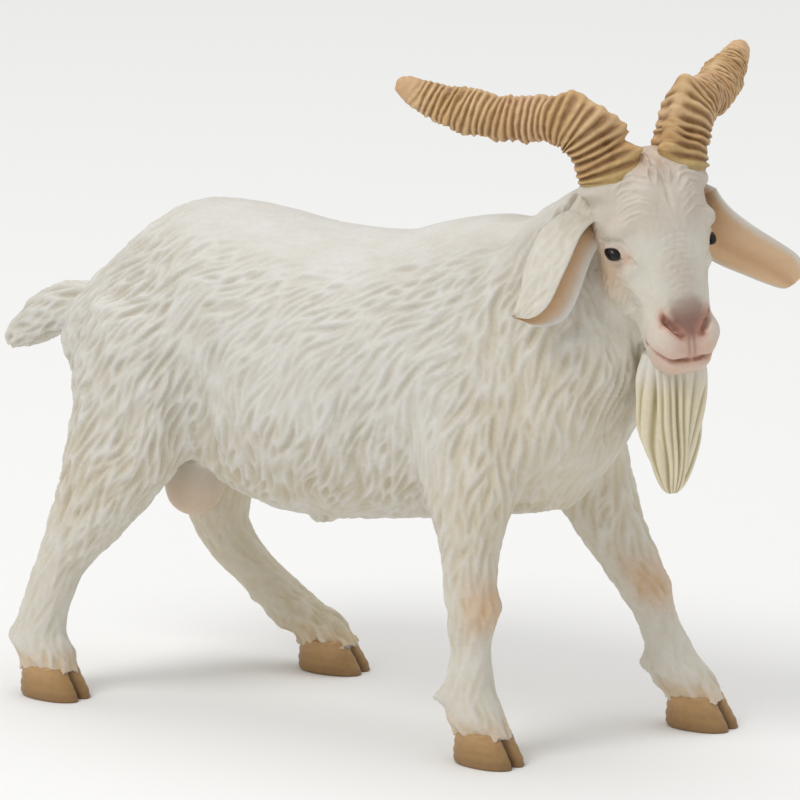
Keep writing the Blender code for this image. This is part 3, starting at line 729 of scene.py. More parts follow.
def face_paint(skin, head):
    """The paint of the head: tan cheeks with painted shade in their hollows, a mauve bridge and nose, pink
    lips and dark lines.
    """
    place = to_head(skin.v)
    t, l, q = place.T
    wide = np.abs(l)
    front = smoothstep(-7.5, -4.0, q) * head
    crown = smoothstep(2.5, -1.0, t) * smoothstep(5.0, 2.0, wide) * smoothstep(-7, -4, q) * head
    # Where the cheek hollow under and behind the eye gets tan, which is also painted shade.
    cheek = bump(np.linalg.norm(np.stack([(t - 10.5) / 6.5, (wide - 6.3) / 3.2, (q + 8.0) / 4.6]), axis=0))
    bridge = bump(np.sqrt(((t - 14.0) / 7.0) ** 2 + (l / 3.4) ** 2)) * front
    muzzle = smoothstep(16.5, 20.0, t) * front
    pad_edge = np.sqrt(((t - 18.7) / 3.0) ** 2 + (l / (3.3 - 0.16 * (t - 18.7))) ** 2)
    nose = smoothstep(1.05, 0.6, pad_edge) * front
    lips = smoothstep(20.8, 22.6, t) * smoothstep(-9.5, -7, q) * head
    upper_lip = bump(np.sqrt(((t - 22) / 2.2) ** 2 + (l / 3.4) ** 2)) * front
    layers = [
        (CREAM, 0.25 * head),
        (PEACH, 0.4 * crown),
        # Tan on the cheek, partly painted shade of its hollow down to the jaw.
        (TAN, 0.60 * cheek * head),
        (SHADE, 0.42 * smoothstep(11, 6, t) * front),
        (MAUVE, 0.22 * bridge),
        (PINK, 0.35 * muzzle),
        (NOSE, 0.95 * nose * (0.5 + 0.5 * smoothstep(16.0, 19.5, t))),
        (LIP, 0.34 * lips * (1 - nose)),
        (LIP, 0.30 * upper_lip),
    ]
    for side in (-1, 1):
        from_eye = (place - (EYE_T + 0.5, side * EYE_L, EYE_Q + 0.5)) / (2.2, 2.5, 2.6)
        from_tear = (place - (10.5, side * 5.8, -3.7)) / 1.1
        nostril, _ = to_polyline(skin.v, on_face(skin, [(t, side * l, q) for t, l, q in NOSTRIL]))
        mouth, _ = to_polyline(skin.v, on_face(skin, [(t, side * l, q) for t, l, q in MOUTH]))
        lip_line = [from_head(20.6, PHILTRUM_L * side, -2.6), from_head(23.2, PHILTRUM_L * side, -4.0)]
        philtrum, _ = to_polyline(skin.v, lip_line)
        layers += [
            (PEACH, 0.36 * bump(np.linalg.norm(from_eye, axis=1)) * head),
            (LIP, 0.65 * bump(np.linalg.norm(from_tear, axis=1)) * head),
            (LIP, 0.7 * bump(nostril / 1.3) * head),
            (DARK_LINE, 0.95 * smoothstep(0.6, 0.2, nostril) * head),
            (LIP, 0.5 * bump(mouth / 0.9) * head),
            (DARK_LINE, 0.9 * bump(mouth / 0.4) * head),
            (DARK_LINE, 0.3 * bump(philtrum / 0.6) * head),
        ]
    return layers


def paint_coat(skin, fields, depth):
    """The hand-painted colours of the white pieces, with painted shade in the fur's grooves and the cheek
    hollows, vertex by vertex.
    """
    head = fields["head"]
    # How deep the fur's grooves are sets where the painted shade and wash go.
    groove = np.clip(depth / 0.5, 0, 1) ** 1.2 * (1 - head)
    return layered(WHITE, trunk_paint(skin, fields, groove) + face_paint(skin, head))


# For each comb: its seed, its passes and how many grooves each pass tries. The first makes broad
# clumps of hair and the second the locks in them.
CLUMPS = {"seed": 3, "passes": ((1.0, 0.15),), "tries": 9000}
LOCKS = {"seed": 4, "passes": ((1.0, 0.02), (0.8, 0.18), (0.6, 0.34)), "tries": 40000}
EAR_LOCKS = {"seed": 9, "passes": ((1.0, 0.02), (0.7, 0.25)), "tries": 5000}


def coat_pieces():
    """Models, combs and paints the white skin, and shares it out."""
    skin = rough_skin()
    sculpt_head(skin)
    fields = fur_fields(skin)
    normals = unit(skin.blur(skin.normals(), 3))
    tree = kd_tree(skin.v)
    length, half_width, deep = fields["size"]
    on_body = 1 - fields["head"]
    clumps = comb(skin, tree, normals, fields["weight"] * on_body, fields["flow"],
                  (length * 1.4, half_width * 2.7, deep * 0.5), **CLUMPS)
    depth = comb(skin, tree, normals, fields["weight"], fields["flow"], fields["size"], **LOCKS)
    depth = skin.blur(depth, 1)
    lift = 0.3 * deep * fields["weight"] * on_body
    skin.v = skin.v + normals * (lift - depth - skin.blur(clumps, 2))[:, None]
    colour = paint_coat(skin, fields, depth + 0.5 * clumps)
    split_coat(*slimmed(skin, colour))


def pieces_of(centres):
    """Which white piece each place belongs to: a number in COAT_PIECES, or -1 inside the hooves."""
    x, y, z = (centres - TRUNK).T
    label = np.zeros(len(centres), int)
    on_head = ((centres - POLL) @ BROW > NECK_JOINT_Q) & close_to(centres, "head", 1.0)
    label[on_head] = COAT_PIECES.index("head")
    for name, mask in leg_masks(centres).items():
        label[mask] = COAT_PIECES.index(name + "_leg")
    label[(x < TAIL_JOINT_X) & (z > TAIL_LOWEST_Z)] = COAT_PIECES.index("tail")
    fringe = FRINGE_Z + 0.12 * np.sin(3.1 * x + 2.0 * y) + 0.1 * np.sin(5.3 * y - 2.2 * x)
    label[z < fringe] = -1
    return label


def slimmed(skin, colour):
    """The skin and its colours with fewer faces, so that the largest piece stays a sensible size."""
    body_faces = np.count_nonzero(pieces_of(skin.v[skin.f].mean(axis=1)) == 0)
    if body_faces <= MOST_FACES:
        return skin, colour
    mesh = mesh_from("full", skin)
    add_colour(mesh, colour)
    mesh = with_modifiers(mesh, ("DECIMATE", {"ratio": MOST_FACES / body_faces}))
    values = np.empty(len(mesh.vertices) * 4, np.float32)
    mesh.color_attributes["paint"].data.foreach_get("color", values)
    return Skin.of(mesh), values.reshape(-1, 4)[:, :3].astype(float)


def settled(skin, label):
    """The labels of the faces, once each patch off its piece's main part has joined one that it touches."""
    stray = np.zeros(len(label), bool)
    for k in range(len(COAT_PIECES)):
        chosen = np.flatnonzero(label == k)
        stray[chosen[~in_largest_part(skin.f[chosen], len(skin.v))]] = True
    label = np.where(stray, -1, label)
    while True:
        near = np.full(len(skin.v), -1)
        np.maximum.at(near, skin.f.ravel(), np.repeat(label, 3))
        reached = stray & (label < 0) & (near[skin.f].max(axis=1) >= 0)
        if not reached.any():
            return label
        label[reached] = near[skin.f[reached]].max(axis=1)


def split_coat(skin, colour):
    """Shares the skin out to closed pieces, one for each white node."""
    label = settled(skin, pieces_of(skin.v[skin.f].mean(axis=1)))
    normals = skin.normals()
    for k, name in enumerate(COAT_PIECES):
        chosen = skin.f[label == k]
        used, index = np.unique(chosen.ravel(), return_inverse=True)
        piece, piece_normals = capped(Skin(skin.v[used], index.reshape(-1, 3)), normals[used])
        painted_piece(name + "_coat", piece, colour[used], coat_material(), name, piece_normals)


SKIRT = 0.45  # how far an open edge turns in under the skin


def capped(skin, normals):
    """The skin with each open edge turned in and closed, and the normals of its old and new vertices."""
    sides = np.vstack([skin.f[:, [0, 1]], skin.f[:, [1, 2]], skin.f[:, [2, 0]]])
    count = len(skin.v)
    forward = sides[:, 0].astype(np.int64) * count + sides[:, 1]
    backward = sides[:, 1].astype(np.int64) * count + sides[:, 0]
    rim = sides[~np.isin(forward, backward)]
    if not len(rim):
        return skin, normals

    # A band of new faces runs inward from the rim, then a cone closes each opening.
    on_rim, inner = np.unique(rim.ravel(), return_inverse=True)
    skirt = skin.v[on_rim] - normals[on_rim] * SKIRT
    a, b = rim.T
    inner_a, inner_b = inner.reshape(-1, 2).T + count
    faces = [skin.f, np.stack([b, a, inner_a], axis=1), np.stack([b, inner_a, inner_b], axis=1)]
    verts, extra = [skin.v, skirt], [normals, normals[on_rim]]
    tips, cone_of = np.unique(groups(rim, count)[a], return_inverse=True)
    for k in range(len(tips)):
        chosen = cone_of == k
        low, high = skirt[inner_a[chosen] - count], skirt[inner_b[chosen] - count]
        middle = (low + high).mean(0) / 2
        verts.append(middle[None])
        extra.append(unit(np.cross(high - middle, low - middle).sum(0))[None])
        tip = np.full(chosen.sum(), count + len(on_rim) + k)
        faces.append(np.stack([inner_b[chosen], inner_a[chosen], tip], axis=1))
    return Skin(np.vstack(verts), np.vstack(faces)), np.vstack(extra)


def add_colour(mesh, colour):
    """Gives a mesh its paint; vertices past the end of the list, inside the piece, stay white."""
    layer = mesh.color_attributes.new("paint", "FLOAT_COLOR", "POINT")
    rgba = np.ones((len(mesh.vertices), 4), np.float32)
    rgba[:len(colour), :3] = colour
    layer.data.foreach_set("color", rgba.ravel())


def finish_piece(name, mesh, material, node, normals=None):
    """Makes the piece an object that rides with the figurine and stands for its CAD node."""
    mesh.materials.append(material)
    mesh.shade_smooth()
    if normals is not None:
        mesh.normals_split_custom_set_from_vertices(normals.astype(np.float32))
    obj = bpy.data.objects.new(name, mesh)
    bpy.context.scene.collection.objects.link(obj)
    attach(obj, "root")
    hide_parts(node)


def painted_piece(name, skin, colour, material, node, normals=None):
    """The same from a skin and its paint."""
    mesh = mesh_from(name, skin)
    add_colour(mesh, colour)
    finish_piece(name, mesh, material, node, normals)


# ---------------------------------------------------------------- swept pieces

def swept(rings):
    """A closed skin through rings of points, all with the same count."""
    rings = [np.asarray(r, float) for r in rings]
    sides = len(rings[0])
    verts = np.vstack(rings + [rings[0].mean(0)[None], rings[-1].mean(0)[None]])
    faces = []
    turn = np.arange(sides)
    after = (turn + 1) % sides
    for k in range(len(rings) - 1):
        low, high = k * sides, (k + 1) * sides
        faces.append(np.stack([low + turn, low + after, high + after], axis=1))
        faces.append(np.stack([low + turn, high + after, high + turn], axis=1))
    first, last = len(verts) - 2, len(verts) - 1
    end = (len(rings) - 1) * sides
    faces.append(np.stack([np.full(sides, first), after, turn], axis=1))
    faces.append(np.stack([np.full(sides, last), end + turn, end + after], axis=1))
    return Skin(verts, np.vstack(faces))


def with_ends(rows, first, last):
    """The values of a sweep's rings as one list, followed by those of its two end points."""
    return np.concatenate([np.ravel(rows), [first, last]])


def outward_faces(skin):
    """Turns a closed skin the right way out."""
    a, b, c = (skin.v[skin.f[:, i]] for i in range(3))
    if np.einsum("ij,ij->i", a, np.cross(b, c)).sum() < 0:
        skin.f = skin.f[:, ::-1].copy()
    return skin


def smooth_curve(points, count):
    """A Catmull-Rom curve through points, with count places spread evenly over its length."""
    points = np.asarray(points, float)
    padded = np.vstack([2 * points[0] - points[1], points, 2 * points[-1] - points[-2]])
    dense = []
    for i in range(1, len(padded) - 2):
        p0, p1, p2, p3 = padded[i - 1:i + 3]
        for share in np.linspace(0, 1, 24, endpoint=False):
            dense.append(0.5 * (2 * p1 + (p2 - p0) * share + (2 * p0 - 5 * p1 + 4 * p2 - p3) * share**2
                                + (3 * p1 - p0 - 3 * p2 + p3) * share**3))
    dense.append(padded[-2])
    dense = np.array(dense)
    run = np.concatenate([[0], np.cumsum(np.linalg.norm(np.diff(dense[:, :3], axis=0), axis=1))])
    even = np.linspace(0, run[-1], count)
    return np.stack([np.interp(even, run, dense[:, k]) for k in range(dense.shape[1])], axis=1), even


# Middle line of a horn from its root: outward, backward, upward, and its radius.
HORN = [
    (-0.2, -0.2, -2.0, 3.2),
    (0.0, 0.0, 0.2, 3.4),
    (1.0, 1.0, 2.9, 3.25),
    (2.3, 2.1, 5.3, 3.3),
    (4.2, 3.8, 6.4, 2.9),
    (6.3, 6.2, 6.3, 2.5),
    (9.0, 9.1, 6.0, 2.65),
    (11.7, 12.1, 6.4, 2.65),
    (14.3, 15.0, 7.2, 2.3),
    (16.5, 17.1, 8.2, 1.8),
    (17.9, 18.3, 9.2, 1.3),
    (18.3, 18.6, 9.6, 0.85),
    (18.5, 18.8, 9.8, 0.25),
]
HORN_SPREAD, HORN_Q = 4.6, -5.6  # the left horn's root, in the head's frame
HORN_RINGS, HORN_SIDES = 520, 96
SOCKET_TOP = 1.9  # the skin comes this far up the horn
# Knobs on the keel: how far along, and how tall.
KNOBS = {
    "right": [(3.6, 0.3), (6.8, 0.8), (10.6, 0.6), (14.0, 0.2)],
    "left": [(4.2, 0.3), (9.6, 1.2), (14.0, 0.2)],
}
RIB_GAP_LOW, RIB_GAP_HIGH = 1.0, 0.86  # between ribs on the rise, and past it
RISE = 8.0  # the horn runs up for this long before it sweeps back
HORN_TAN = (0.66, 0.41, 0.18)
# On the rib tops: lighter paint that is partly a painted highlight.
HORN_RIB_TOP_PAINT_AND_HIGHLIGHT = (0.80, 0.60, 0.37)
# Between the ribs: a wash that is partly painted shade.
HORN_GROOVE_WASH_AND_SHADE = (0.25, 0.125, 0.042)
HORN_YELLOW = (0.58, 0.44, 0.16)
HORN_PINK = (0.68, 0.42, 0.28)


def uneven(rng, rows, columns, cells):
    """Smooth random heights around a sweep, about -1 to 1, from a coarse grid of cells that wraps around."""
    coarse = rng.uniform(-1, 1, cells)
    coarse = np.hstack([coarse, coarse[:, :1]])
    at_column = np.linspace(0, cells[1], columns, endpoint=False)
    wide = np.array([np.interp(at_column, np.arange(cells[1] + 1), row) for row in coarse])
    at_row = np.linspace(0, cells[0] - 1, rows)
    return np.array([np.interp(at_row, np.arange(cells[0]), column) for column in wide.T]).T


def horn_line(side, path):
    """A horn's middle line, and its direction at each place."""
    sign = 1 if side == "left" else -1
    root = from_head(0, sign * HORN_SPREAD, HORN_Q)
    middle = root + path[:, :1] * LEVEL_LEFT * sign - path[:, 1:2] * FORWARD + path[:, 2:3] * UP
    return middle, unit(np.gradient(middle, axis=0))


def rib_phase(run):
    """How many ribs lie below a place on the horn."""
    return min(run, RISE) / RIB_GAP_LOW + max(run - RISE, 0) / RIB_GAP_HIGH


def make_horn(side):
    """A horn with uneven ribs, a knobby keel up its front and a rim where it leaves the skin."""
    sign = 1 if side == "left" else -1
    out = LEVEL_LEFT * sign
    path, run = smooth_curve(HORN, HORN_RINGS)
    middle, along = horn_line(side, path)
    turn = circle(HORN_SIDES)
    around = np.angle(np.exp(1j * turn))
    keel_side = unit(UP - out * 0.55 + FORWARD * 0.5)
    rng = np.random.RandomState(12)
    ribs_in_all = int(rib_phase(run[-1])) + 4
    strength = 0.7 + 0.6 * rng.rand(ribs_in_all)
    tilt = rng.uniform(-0.22, 0.22, (ribs_in_all, 2))
    rough = uneven(rng, HORN_RINGS, HORN_SIDES, (90, 26))
    rough = rough + 0.6 * uneven(rng, HORN_RINGS, HORN_SIDES, (30, 8))
    rings, grooves = [], []
    for k in range(len(middle)):
        share = run[k] / run[-1]
        rise = 1 - smoothstep(RISE - 3, RISE + 2, run[k])
        first = unit(keel_side - along[k] * (keel_side @ along[k]))
        second = np.cross(along[k], first) * sign

        # The ribs lean a little, each its own way, and fade out at the root and the tip.
        number = rib_phase(run[k])
        here = min(int(number), ribs_in_all - 2)
        part = number - int(number)
        lean = tilt[here] * (1 - part) + tilt[here + 1] * part
        phase = number + 0.45 * np.cos(turn - 0.5) + lean[0] * np.cos(turn) + lean[1] * np.sin(2 * turn)
        fade = smoothstep(1.4, 2.6, run[k]) * (1 - smoothstep(0.84, 0.96, share))
        sides = 0.55 + 0.45 * smoothstep(-0.7, 0.7, np.cos(turn - 1.2))
        strong = strength[np.clip(phase.astype(int), 0, ribs_in_all - 1)]
        rib = 1 - np.abs(2 * (phase % 1) - 1) ** 1.6
        rib = 0.65 * rib + 0.35 * np.abs(np.sin(math.pi * phase))

        # The keel lies between two trenches and carries the knobs.
        ridge = smoothstep(1.4, 3.2, run[k]) * (1 - smoothstep(0.7, 0.95, share))
        on_keel = np.exp(-(np.abs(around) / (0.26 + 0.08 * rise)) ** 3) * ridge
        bumpy = 1 + 0.35 * math.sin(2.6 * run[k] + sign) + 0.15 * math.sin(6.1 * run[k])
        keel = on_keel * (0.15 + 0.8 * rise) * bumpy
        trench = 0.36 * ridge * rise * bell(np.abs(around) - 0.72, 0.3)
        knobs = sum(tall * bell(run[k] - place, 0.95) for place, tall in KNOBS[side])
        knob = keel - trench + knobs * bell(around, 0.42)

        # The rest is uneven all round, and roughest underneath.
        lump = 0.13 * np.sin(2 * turn + 0.9 * run[k]) + 0.09 * np.sin(3 * turn - 1.7 * run[k])
        rim = 0.30 * bell(run[k] - 2.2, 0.6)
        below = bell(np.abs(around) - math.pi, 0.6) * (1 - rise)
        coarse = (0.14 + 0.14 * below) * rough[k] * (0.35 + 0.65 * fade) * smoothstep(1.0, 0.9, share)
        root = path[k, 3] * (0.7 + 0.3 * smoothstep(0, 1.3, run[k]))
        depth = (0.25 + 0.2 * rise) * fade * sides * strong * (1 - (0.35 + 0.55 * rise) * on_keel)
        r = np.maximum(root + depth * (rib - 0.6) + knob + lump * fade * 0.7 + rim + coarse, 0.05)
        rings.append(middle[k] + np.outer(r * np.cos(turn), first) + np.outer(r * np.sin(turn), second))
        # How far each place lies in a groove between the ribs, where the wash and painted shade go.
        grooves.append(np.clip((1 - rib) * fade * sides * (1.5 + 0.8 * rise) * (1 - 0.85 * on_keel), 0, 1))
    groove = with_ends(grooves, 0, 0)
    place = with_ends(np.repeat(run, HORN_SIDES), 0, run[-1])
    colour = layered(HORN_TAN, [
        # Lighter on the rib tops, partly as a painted highlight.
        (HORN_RIB_TOP_PAINT_AND_HIGHLIGHT, 0.62 * (1 - groove) ** 2 * (0.6 + 0.4 * np.sin(place * 0.9 + 1.0))),
        (HORN_PINK, 0.4 * (1 - groove) * smoothstep(0.1, 0.9, np.sin(place * 0.37 + 2.0))),
        (HORN_YELLOW, 0.7 * (1 - smoothstep(1.9, 4.0, place))),
        # Darker between the ribs, partly painted shade.
        (HORN_GROOVE_WASH_AND_SHADE, 0.86 * groove),
    ])
    skin = outward_faces(swept(rings))
    painted_piece(side + "_horn_ribbed", skin, colour, horn_material(), side + "_horn")


# How wide an ear is along its length, as shares.
EAR = [(-0.2, 0.5), (-0.05, 0.68), (0.12, 0.86), (0.33, 0.99), (0.55, 1.0), (0.76, 0.9), (0.89, 0.7),
       (0.97, 0.45), (1.0, 0.15)]
# The right ear is folded almost shut, and the left one is open. fold is how far each leaf turns up,
# in radians, around a bend of that radius; upper and lower are the widths of the two leaves; drop is
# how deep the bend lies, bow how far the ear arches, and ahead how far forward it is.
EAR_FOLD = {
    "right": {"fold": 1.45, "radius": 1.0, "upper": 5.4, "lower": 7.4,
              "drop": 2.1, "bow": 0.75, "ahead": 1.0},
    "left": {"fold": 0.4, "radius": 1.6, "upper": 2.4, "lower": 7.8,
             "drop": 1.2, "bow": -0.75, "ahead": 0.0},
}
EAR_ROOT = (4.6, 6.9, -9.3)  # of the left ear, in the head's frame
EAR_LENGTH = {"right": (10.2, 3.6, -10.1), "left": (11.6, 3.8, -10.9)}  # outward, forward, up
EAR_THICKNESS = 0.7
EAR_RINGS, EAR_POINTS = 150, 48  # along the ear, and across each of its faces
EAR_HAIR = (4.0, 0.4, 0.2)  # length, half-width and depth of its grooves
EAR_TAN = (0.76, 0.50, 0.27)
# Painted shade deep in the ear's hollow.
EAR_HOLLOW_SHADE = (0.55, 0.31, 0.14)


def make_ear(side):
    """A folded leaf, furred outside and lined with tan, with painted shade deep in its hollow and in its
    grooves.
    """
    sign = 1 if side == "left" else -1
    out = LEFT * sign
    root_t, root_l, root_q = EAR_ROOT
    root = from_head(root_t, sign * root_l, root_q)
    outward, forward, upward = EAR_LENGTH[side]
    length = out * outward + FORWARD * forward + UP * upward
    axis = unit(length)
    inner = -out * 0.85 + FORWARD * 0.45
    inner = unit(inner - axis * (inner @ axis))
    across = np.cross(axis, inner)
    span = np.linalg.norm(length)
    shape, _ = smooth_curve([(s * span, w * span) for s, w in EAR], EAR_RINGS)
    form = EAR_FOLD[side]
    u = np.linspace(-1, 1, EAR_POINTS)
    leaf = np.where(u > 0, form["upper"], form["lower"])
    rings = []
    for run, w in shape:
        share = run / span
        bow = (out * 2.0 + UP * 1.5) * (6.75 * max(share, 0) * (1 - share) ** 2) * form["bow"]
        drop = form["drop"] - 0.6 * smoothstep(0.5, 1.0, share)
        centre = root + length * share + bow - inner * drop + across * form["ahead"]

        # Each leaf runs around the bend and then straight on.
        reach = np.abs(u) * leaf * w / span
        radius = form["radius"] * max(w / span, 0.3)
        angle = np.minimum(reach / radius, form["fold"])
        straight = reach - angle * radius
        aside = radius * np.sin(angle) + straight * np.cos(angle)
        deep = radius * (1 - np.cos(angle)) + straight * np.sin(angle)
        deep = deep + 0.14 * np.sin(9 * share + 4 * u) * u**2
        angle = angle * np.sign(u)
        sheet = centre + np.outer(aside * np.sign(u), across) + np.outer(deep, inner)
        normal = unit(np.outer(-np.sin(angle), across) + np.outer(np.cos(angle), inner))

        # It thins toward its tip and its edges, and has two veins inside.
        thick = EAR_THICKNESS * (0.6 + 0.4 * (1 - u**2)) * (0.55 + 0.45 * (1 - share))
        thick = thick * (1 - 0.75 * smoothstep(0.9, 1.0, np.abs(u)))
        vein = 0.16 * bell(u - 0.15, 0.10) + 0.12 * bell(u + 0.4, 0.09)
        front = sheet + normal * (thick / 2 + vein * (1 - share))[:, None]
        back = sheet - normal * (thick / 2)[:, None]
        rings.append(np.vstack([front, back[::-1]]))
    skin = outward_faces(swept(rings))
    inside = with_ends([[1] * EAR_POINTS + [0] * EAR_POINTS] * EAR_RINGS, 1, 1)
    edge = with_ends([np.concatenate([np.abs(u), np.abs(u[::-1])])] * EAR_RINGS, 0, 0)
    normals = unit(skin.blur(skin.normals(), 2))
    hair = tuple(np.full(len(inside), measure) for measure in EAR_HAIR)
    depth = comb(skin, kd_tree(skin.v), normals, (1 - inside) * smoothstep(1.0, 0.85, edge),
                 np.tile(axis, (len(inside), 1)), hair, **EAR_LOCKS)
    skin.v = skin.v - normals * skin.blur(depth, 1)[:, None]
    lining = skin.blur(inside * smoothstep(0.99, 0.76, edge), 3)
    colour = layered(WHITE, [
        # The fur's grooves: a wash that is partly painted shade.
        (GROOVE_WASH_AND_SHADE, 0.4 * np.clip(depth / 0.2, 0, 1)),
        (CREAM, 0.25 * (1 - inside)),
        (EAR_TAN, 0.85 * lining),
        # Painted shade down the middle of the lining, deepest in the hollow.
        (EAR_HOLLOW_SHADE, 0.4 * lining * smoothstep(0.6, 0.0, edge)),
    ])
    painted_piece(side + "_ear_cupped", skin, colour, coat_material(), side + "_ear")


BEARD_LIGHT = (0.78, 0.71, 0.54)
# Between the locks: a wash that is partly painted shade.
BEARD_GROOVE_WASH_AND_SHADE = (0.38, 0.31, 0.15)
# Half-width and half-depth of the beard, against the share of its drop.
BEARD = [(0, 3.7, 2.4), (0.12, 4.25, 2.9), (0.4, 4.1, 3.0), (0.58, 3.6, 2.7), (0.76, 2.6, 2.0),
         (0.88, 1.9, 1.5), (0.96, 1.3, 1.0), (1.0, 0.7, 0.5)]
BEARD_TOP = (22.3, 0, -9.2)  # in the head's frame
BEARD_RINGS, BEARD_SIDES = 210, 192


def make_beard():
    """A long tuft of hanging locks, with painted shade between them."""
    low, _ = node_box("beard")
    top = from_head(*BEARD_TOP) + UP * 1.0
    drop = top[2] - low[2] + 0.2
    turn = circle(BEARD_SIDES)
    shape, _ = smooth_curve([(share * drop, wide, deep) for share, wide, deep in BEARD], BEARD_RINGS)
    rings, ridges = [], []
    for down, wide, deep in shape:
        share = down / drop
        centre = top - UP * down + FORWARD * (0.5 * share - 0.3)
        angle = turn + 0.06 * math.sin(2.6 * share * math.pi) + 0.14 * np.sin(3 * turn + 2 * share)
        lock = np.abs(np.cos(3 * angle + 0.5 * np.sin(2 * turn + 4 * share)))
        waver = 0.5 * np.sin(4 * share + 3 * turn)
        strand = np.abs(np.cos(10 * angle + waver + 0.3 * np.sin(9 * share + turn))) ** 1.5
        grown = smoothstep(0.0, 0.2, share)
        notch = 1 + (0.07 + 0.1 * share) * np.sin(5 * turn + 1 + 7 * share) * smoothstep(0.3, 0.8, share)
        r = (1 + (0.16 * (lock - 0.6) + 0.13 * (strand - 0.5)) * grown) * notch
        aside, ahead = wide * r * np.cos(turn), deep * r * np.sin(turn)
        rings.append(centre + np.outer(aside, LEFT) + np.outer(ahead, FORWARD))
        ridges.append(lock * 0.25 + strand * 0.75)
    skin = outward_faces(swept(rings))
    ridge = with_ends(ridges, 0.5, 0.5)
    from_top = (top[2] - skin.v[:, 2]) / drop
    colour = layered(BEARD_LIGHT, [
        # Darker between the locks, partly painted shade.
        (BEARD_GROOVE_WASH_AND_SHADE, 0.9 * (1 - smoothstep(0.1, 0.7, ridge))),
        (WHITE, 0.75 * smoothstep(0.34, 0.06, from_top)),
    ])
    painted_piece("beard_locks", skin, colour, coat_material(), "beard")


HOOF_LENGTH, HOOF_HEIGHT = 9.0, 4.3
HOOF_TAN = (0.38, 0.23, 0.092)
HOOF_TOP = (0.52, 0.32, 0.15)
HOOF_LOW = (0.25, 0.14, 0.055)
# Painted shade along the cleft at the toe.
HOOF_CLEFT_SHADE = (0.14, 0.07, 0.03)
HOOF_TURN = {"front_right": -8, "front_left": 0, "hind_right": -6, "hind_left": 4}  # degrees
HOOF_SIDES = 144
# Each level of a hoof: its height, and how wide it is against the wall; the sole is flat.
HOOF_LEVELS = [(0.0, 0.25), (0.0, 0.93), (0.06, 0.975), (0.18, 1.0)]
HOOF_LEVELS += [(z, 1.0) for z in np.linspace(0.35, 3.9, 34)] + [(4.1, 0.93), (4.2, 0.6)]


def make_hoof(name):
    """A cloven hoof that slopes forward to a rounded toe."""
    low, high = node_box(name + "_hoof")
    facing = math.radians(HOOF_TURN[name])
    toe = np.array([math.cos(facing), math.sin(facing), 0])
    side = np.array([-toe[1], toe[0], 0])
    middle = (low + high) / 2 * (1, 1, 0) + toe * 0.3
    turn = circle(HOOF_SIDES)
    around = np.angle(np.exp(1j * turn))
    rings, heights, slits = [], [], []
    for z, share in HOOF_LEVELS:
        up = min(z / HOOF_HEIGHT, 1)
        slope = 0.985 + 0.015 * smoothstep(0, 0.14, up) - 0.157 * smoothstep(0.14, 1, up)
        half_length = HOOF_LENGTH / 2 * slope
        reach = np.where(np.cos(turn) > 0, half_length - 2.0 * up, half_length + 0.7 * up) * share
        wide = (3.1 - 0.15 * up + 0.12 * bell(up - 0.25, 0.2)) * share
        point = np.sign(np.cos(turn)) * np.abs(np.cos(turn)) ** 0.88
        width = np.sign(np.sin(turn)) * np.abs(np.sin(turn)) ** 0.78
        cleft = 1 - (0.34 - 0.14 * up) * bell(around, 0.085) - 0.10 * bell(around, 0.26)
        heel = 1 - 0.16 * bell(np.abs(around) - math.pi, 0.16)
        growth = 1 + 0.010 * np.sin(up * 26 + np.cos(turn) * 2)
        r = cleft * heel * growth
        rings.append(middle + np.outer(reach * point * r, toe) + np.outer(wide * width * r, side) + UP * z)
        heights.append(np.full(HOOF_SIDES, up))
        slits.append(bell(around, 0.13))
    skin = outward_faces(swept(rings))
    up = with_ends(heights, 0, 1)
    colour = layered(HOOF_TAN, [
        (HOOF_TOP, 0.8 * smoothstep(0.4, 0.85, up)),
        (HOOF_LOW, 0.75 * smoothstep(0.45, 0.0, up)),
        # Darker along the cleft, as painted shade.
        (HOOF_CLEFT_SHADE, 0.75 * with_ends(slits, 0, 0)),
    ])
    painted_piece(name + "_hoof_cloven", skin, colour, hoof_material(), name + "_hoof")


EYE_LONG, EYE_TALL, EYE_DEEP = 1.24, 0.78, 0.66  # half-measures of the bead


def make_eye(side):
    """A glossy bead, pointed at both corners; its front corner sits lower."""
    sign = 1 if side == "left" else -1
    bulge = unit(LEFT * sign + BROW * 0.4)
    long_way = FACE * 0.66 + BROW * 0.75 - LEFT * sign * 0.3
    long_way = unit(long_way - bulge * (long_way @ bulge))
    short_way = np.cross(bulge, long_way)
    centre = node_middle(side + "_eye") - BROW * 0.4 - FACE * 0.2 + bulge * 0.22
    form = bmesh.new()
    bmesh.ops.create_uvsphere(form, u_segments=48, v_segments=32, radius=1)
    for vert in form.verts:
        a, b, c = vert.co
        point = (long_way * (a * EYE_LONG) + short_way * (b * EYE_TALL * (1 - 0.4 * a * a))
                 + bulge * (c * EYE_DEEP))
        vert.co = Vector((centre + point) * MM)
    bmesh.ops.recalc_face_normals(form, faces=form.faces)
    mesh = bpy.data.meshes.new(side + "_eye_bead")
    form.to_mesh(mesh)
    form.free()
    finish_piece(side + "_eye_bead", mesh, eye_material(), side + "_eye")


# ---------------------------------------------------------------- materials

def new_material(name):
    """An empty material: itself, its Principled shader and its node tree."""
    material = bpy.data.materials.new(name)
    material.use_nodes = True
    return material, material.node_tree.nodes["Principled BSDF"], material.node_tree


def set_inputs(node, **values):
    """Sets a node's sockets; an underscore stands for a space in a socket's name."""
    for key, value in values.items():
        node.inputs[key.replace("_", " ")].default_value = value


def noise(tree, scale, detail=2, where=None):
    """The strength of a noise at each place."""
    node = tree.nodes.new("ShaderNodeTexNoise")
    set_inputs(node, Scale=scale, Detail=detail)
    if where is not None:
        tree.links.new(where, node.inputs["Vector"])
    return node.outputs["Fac"]


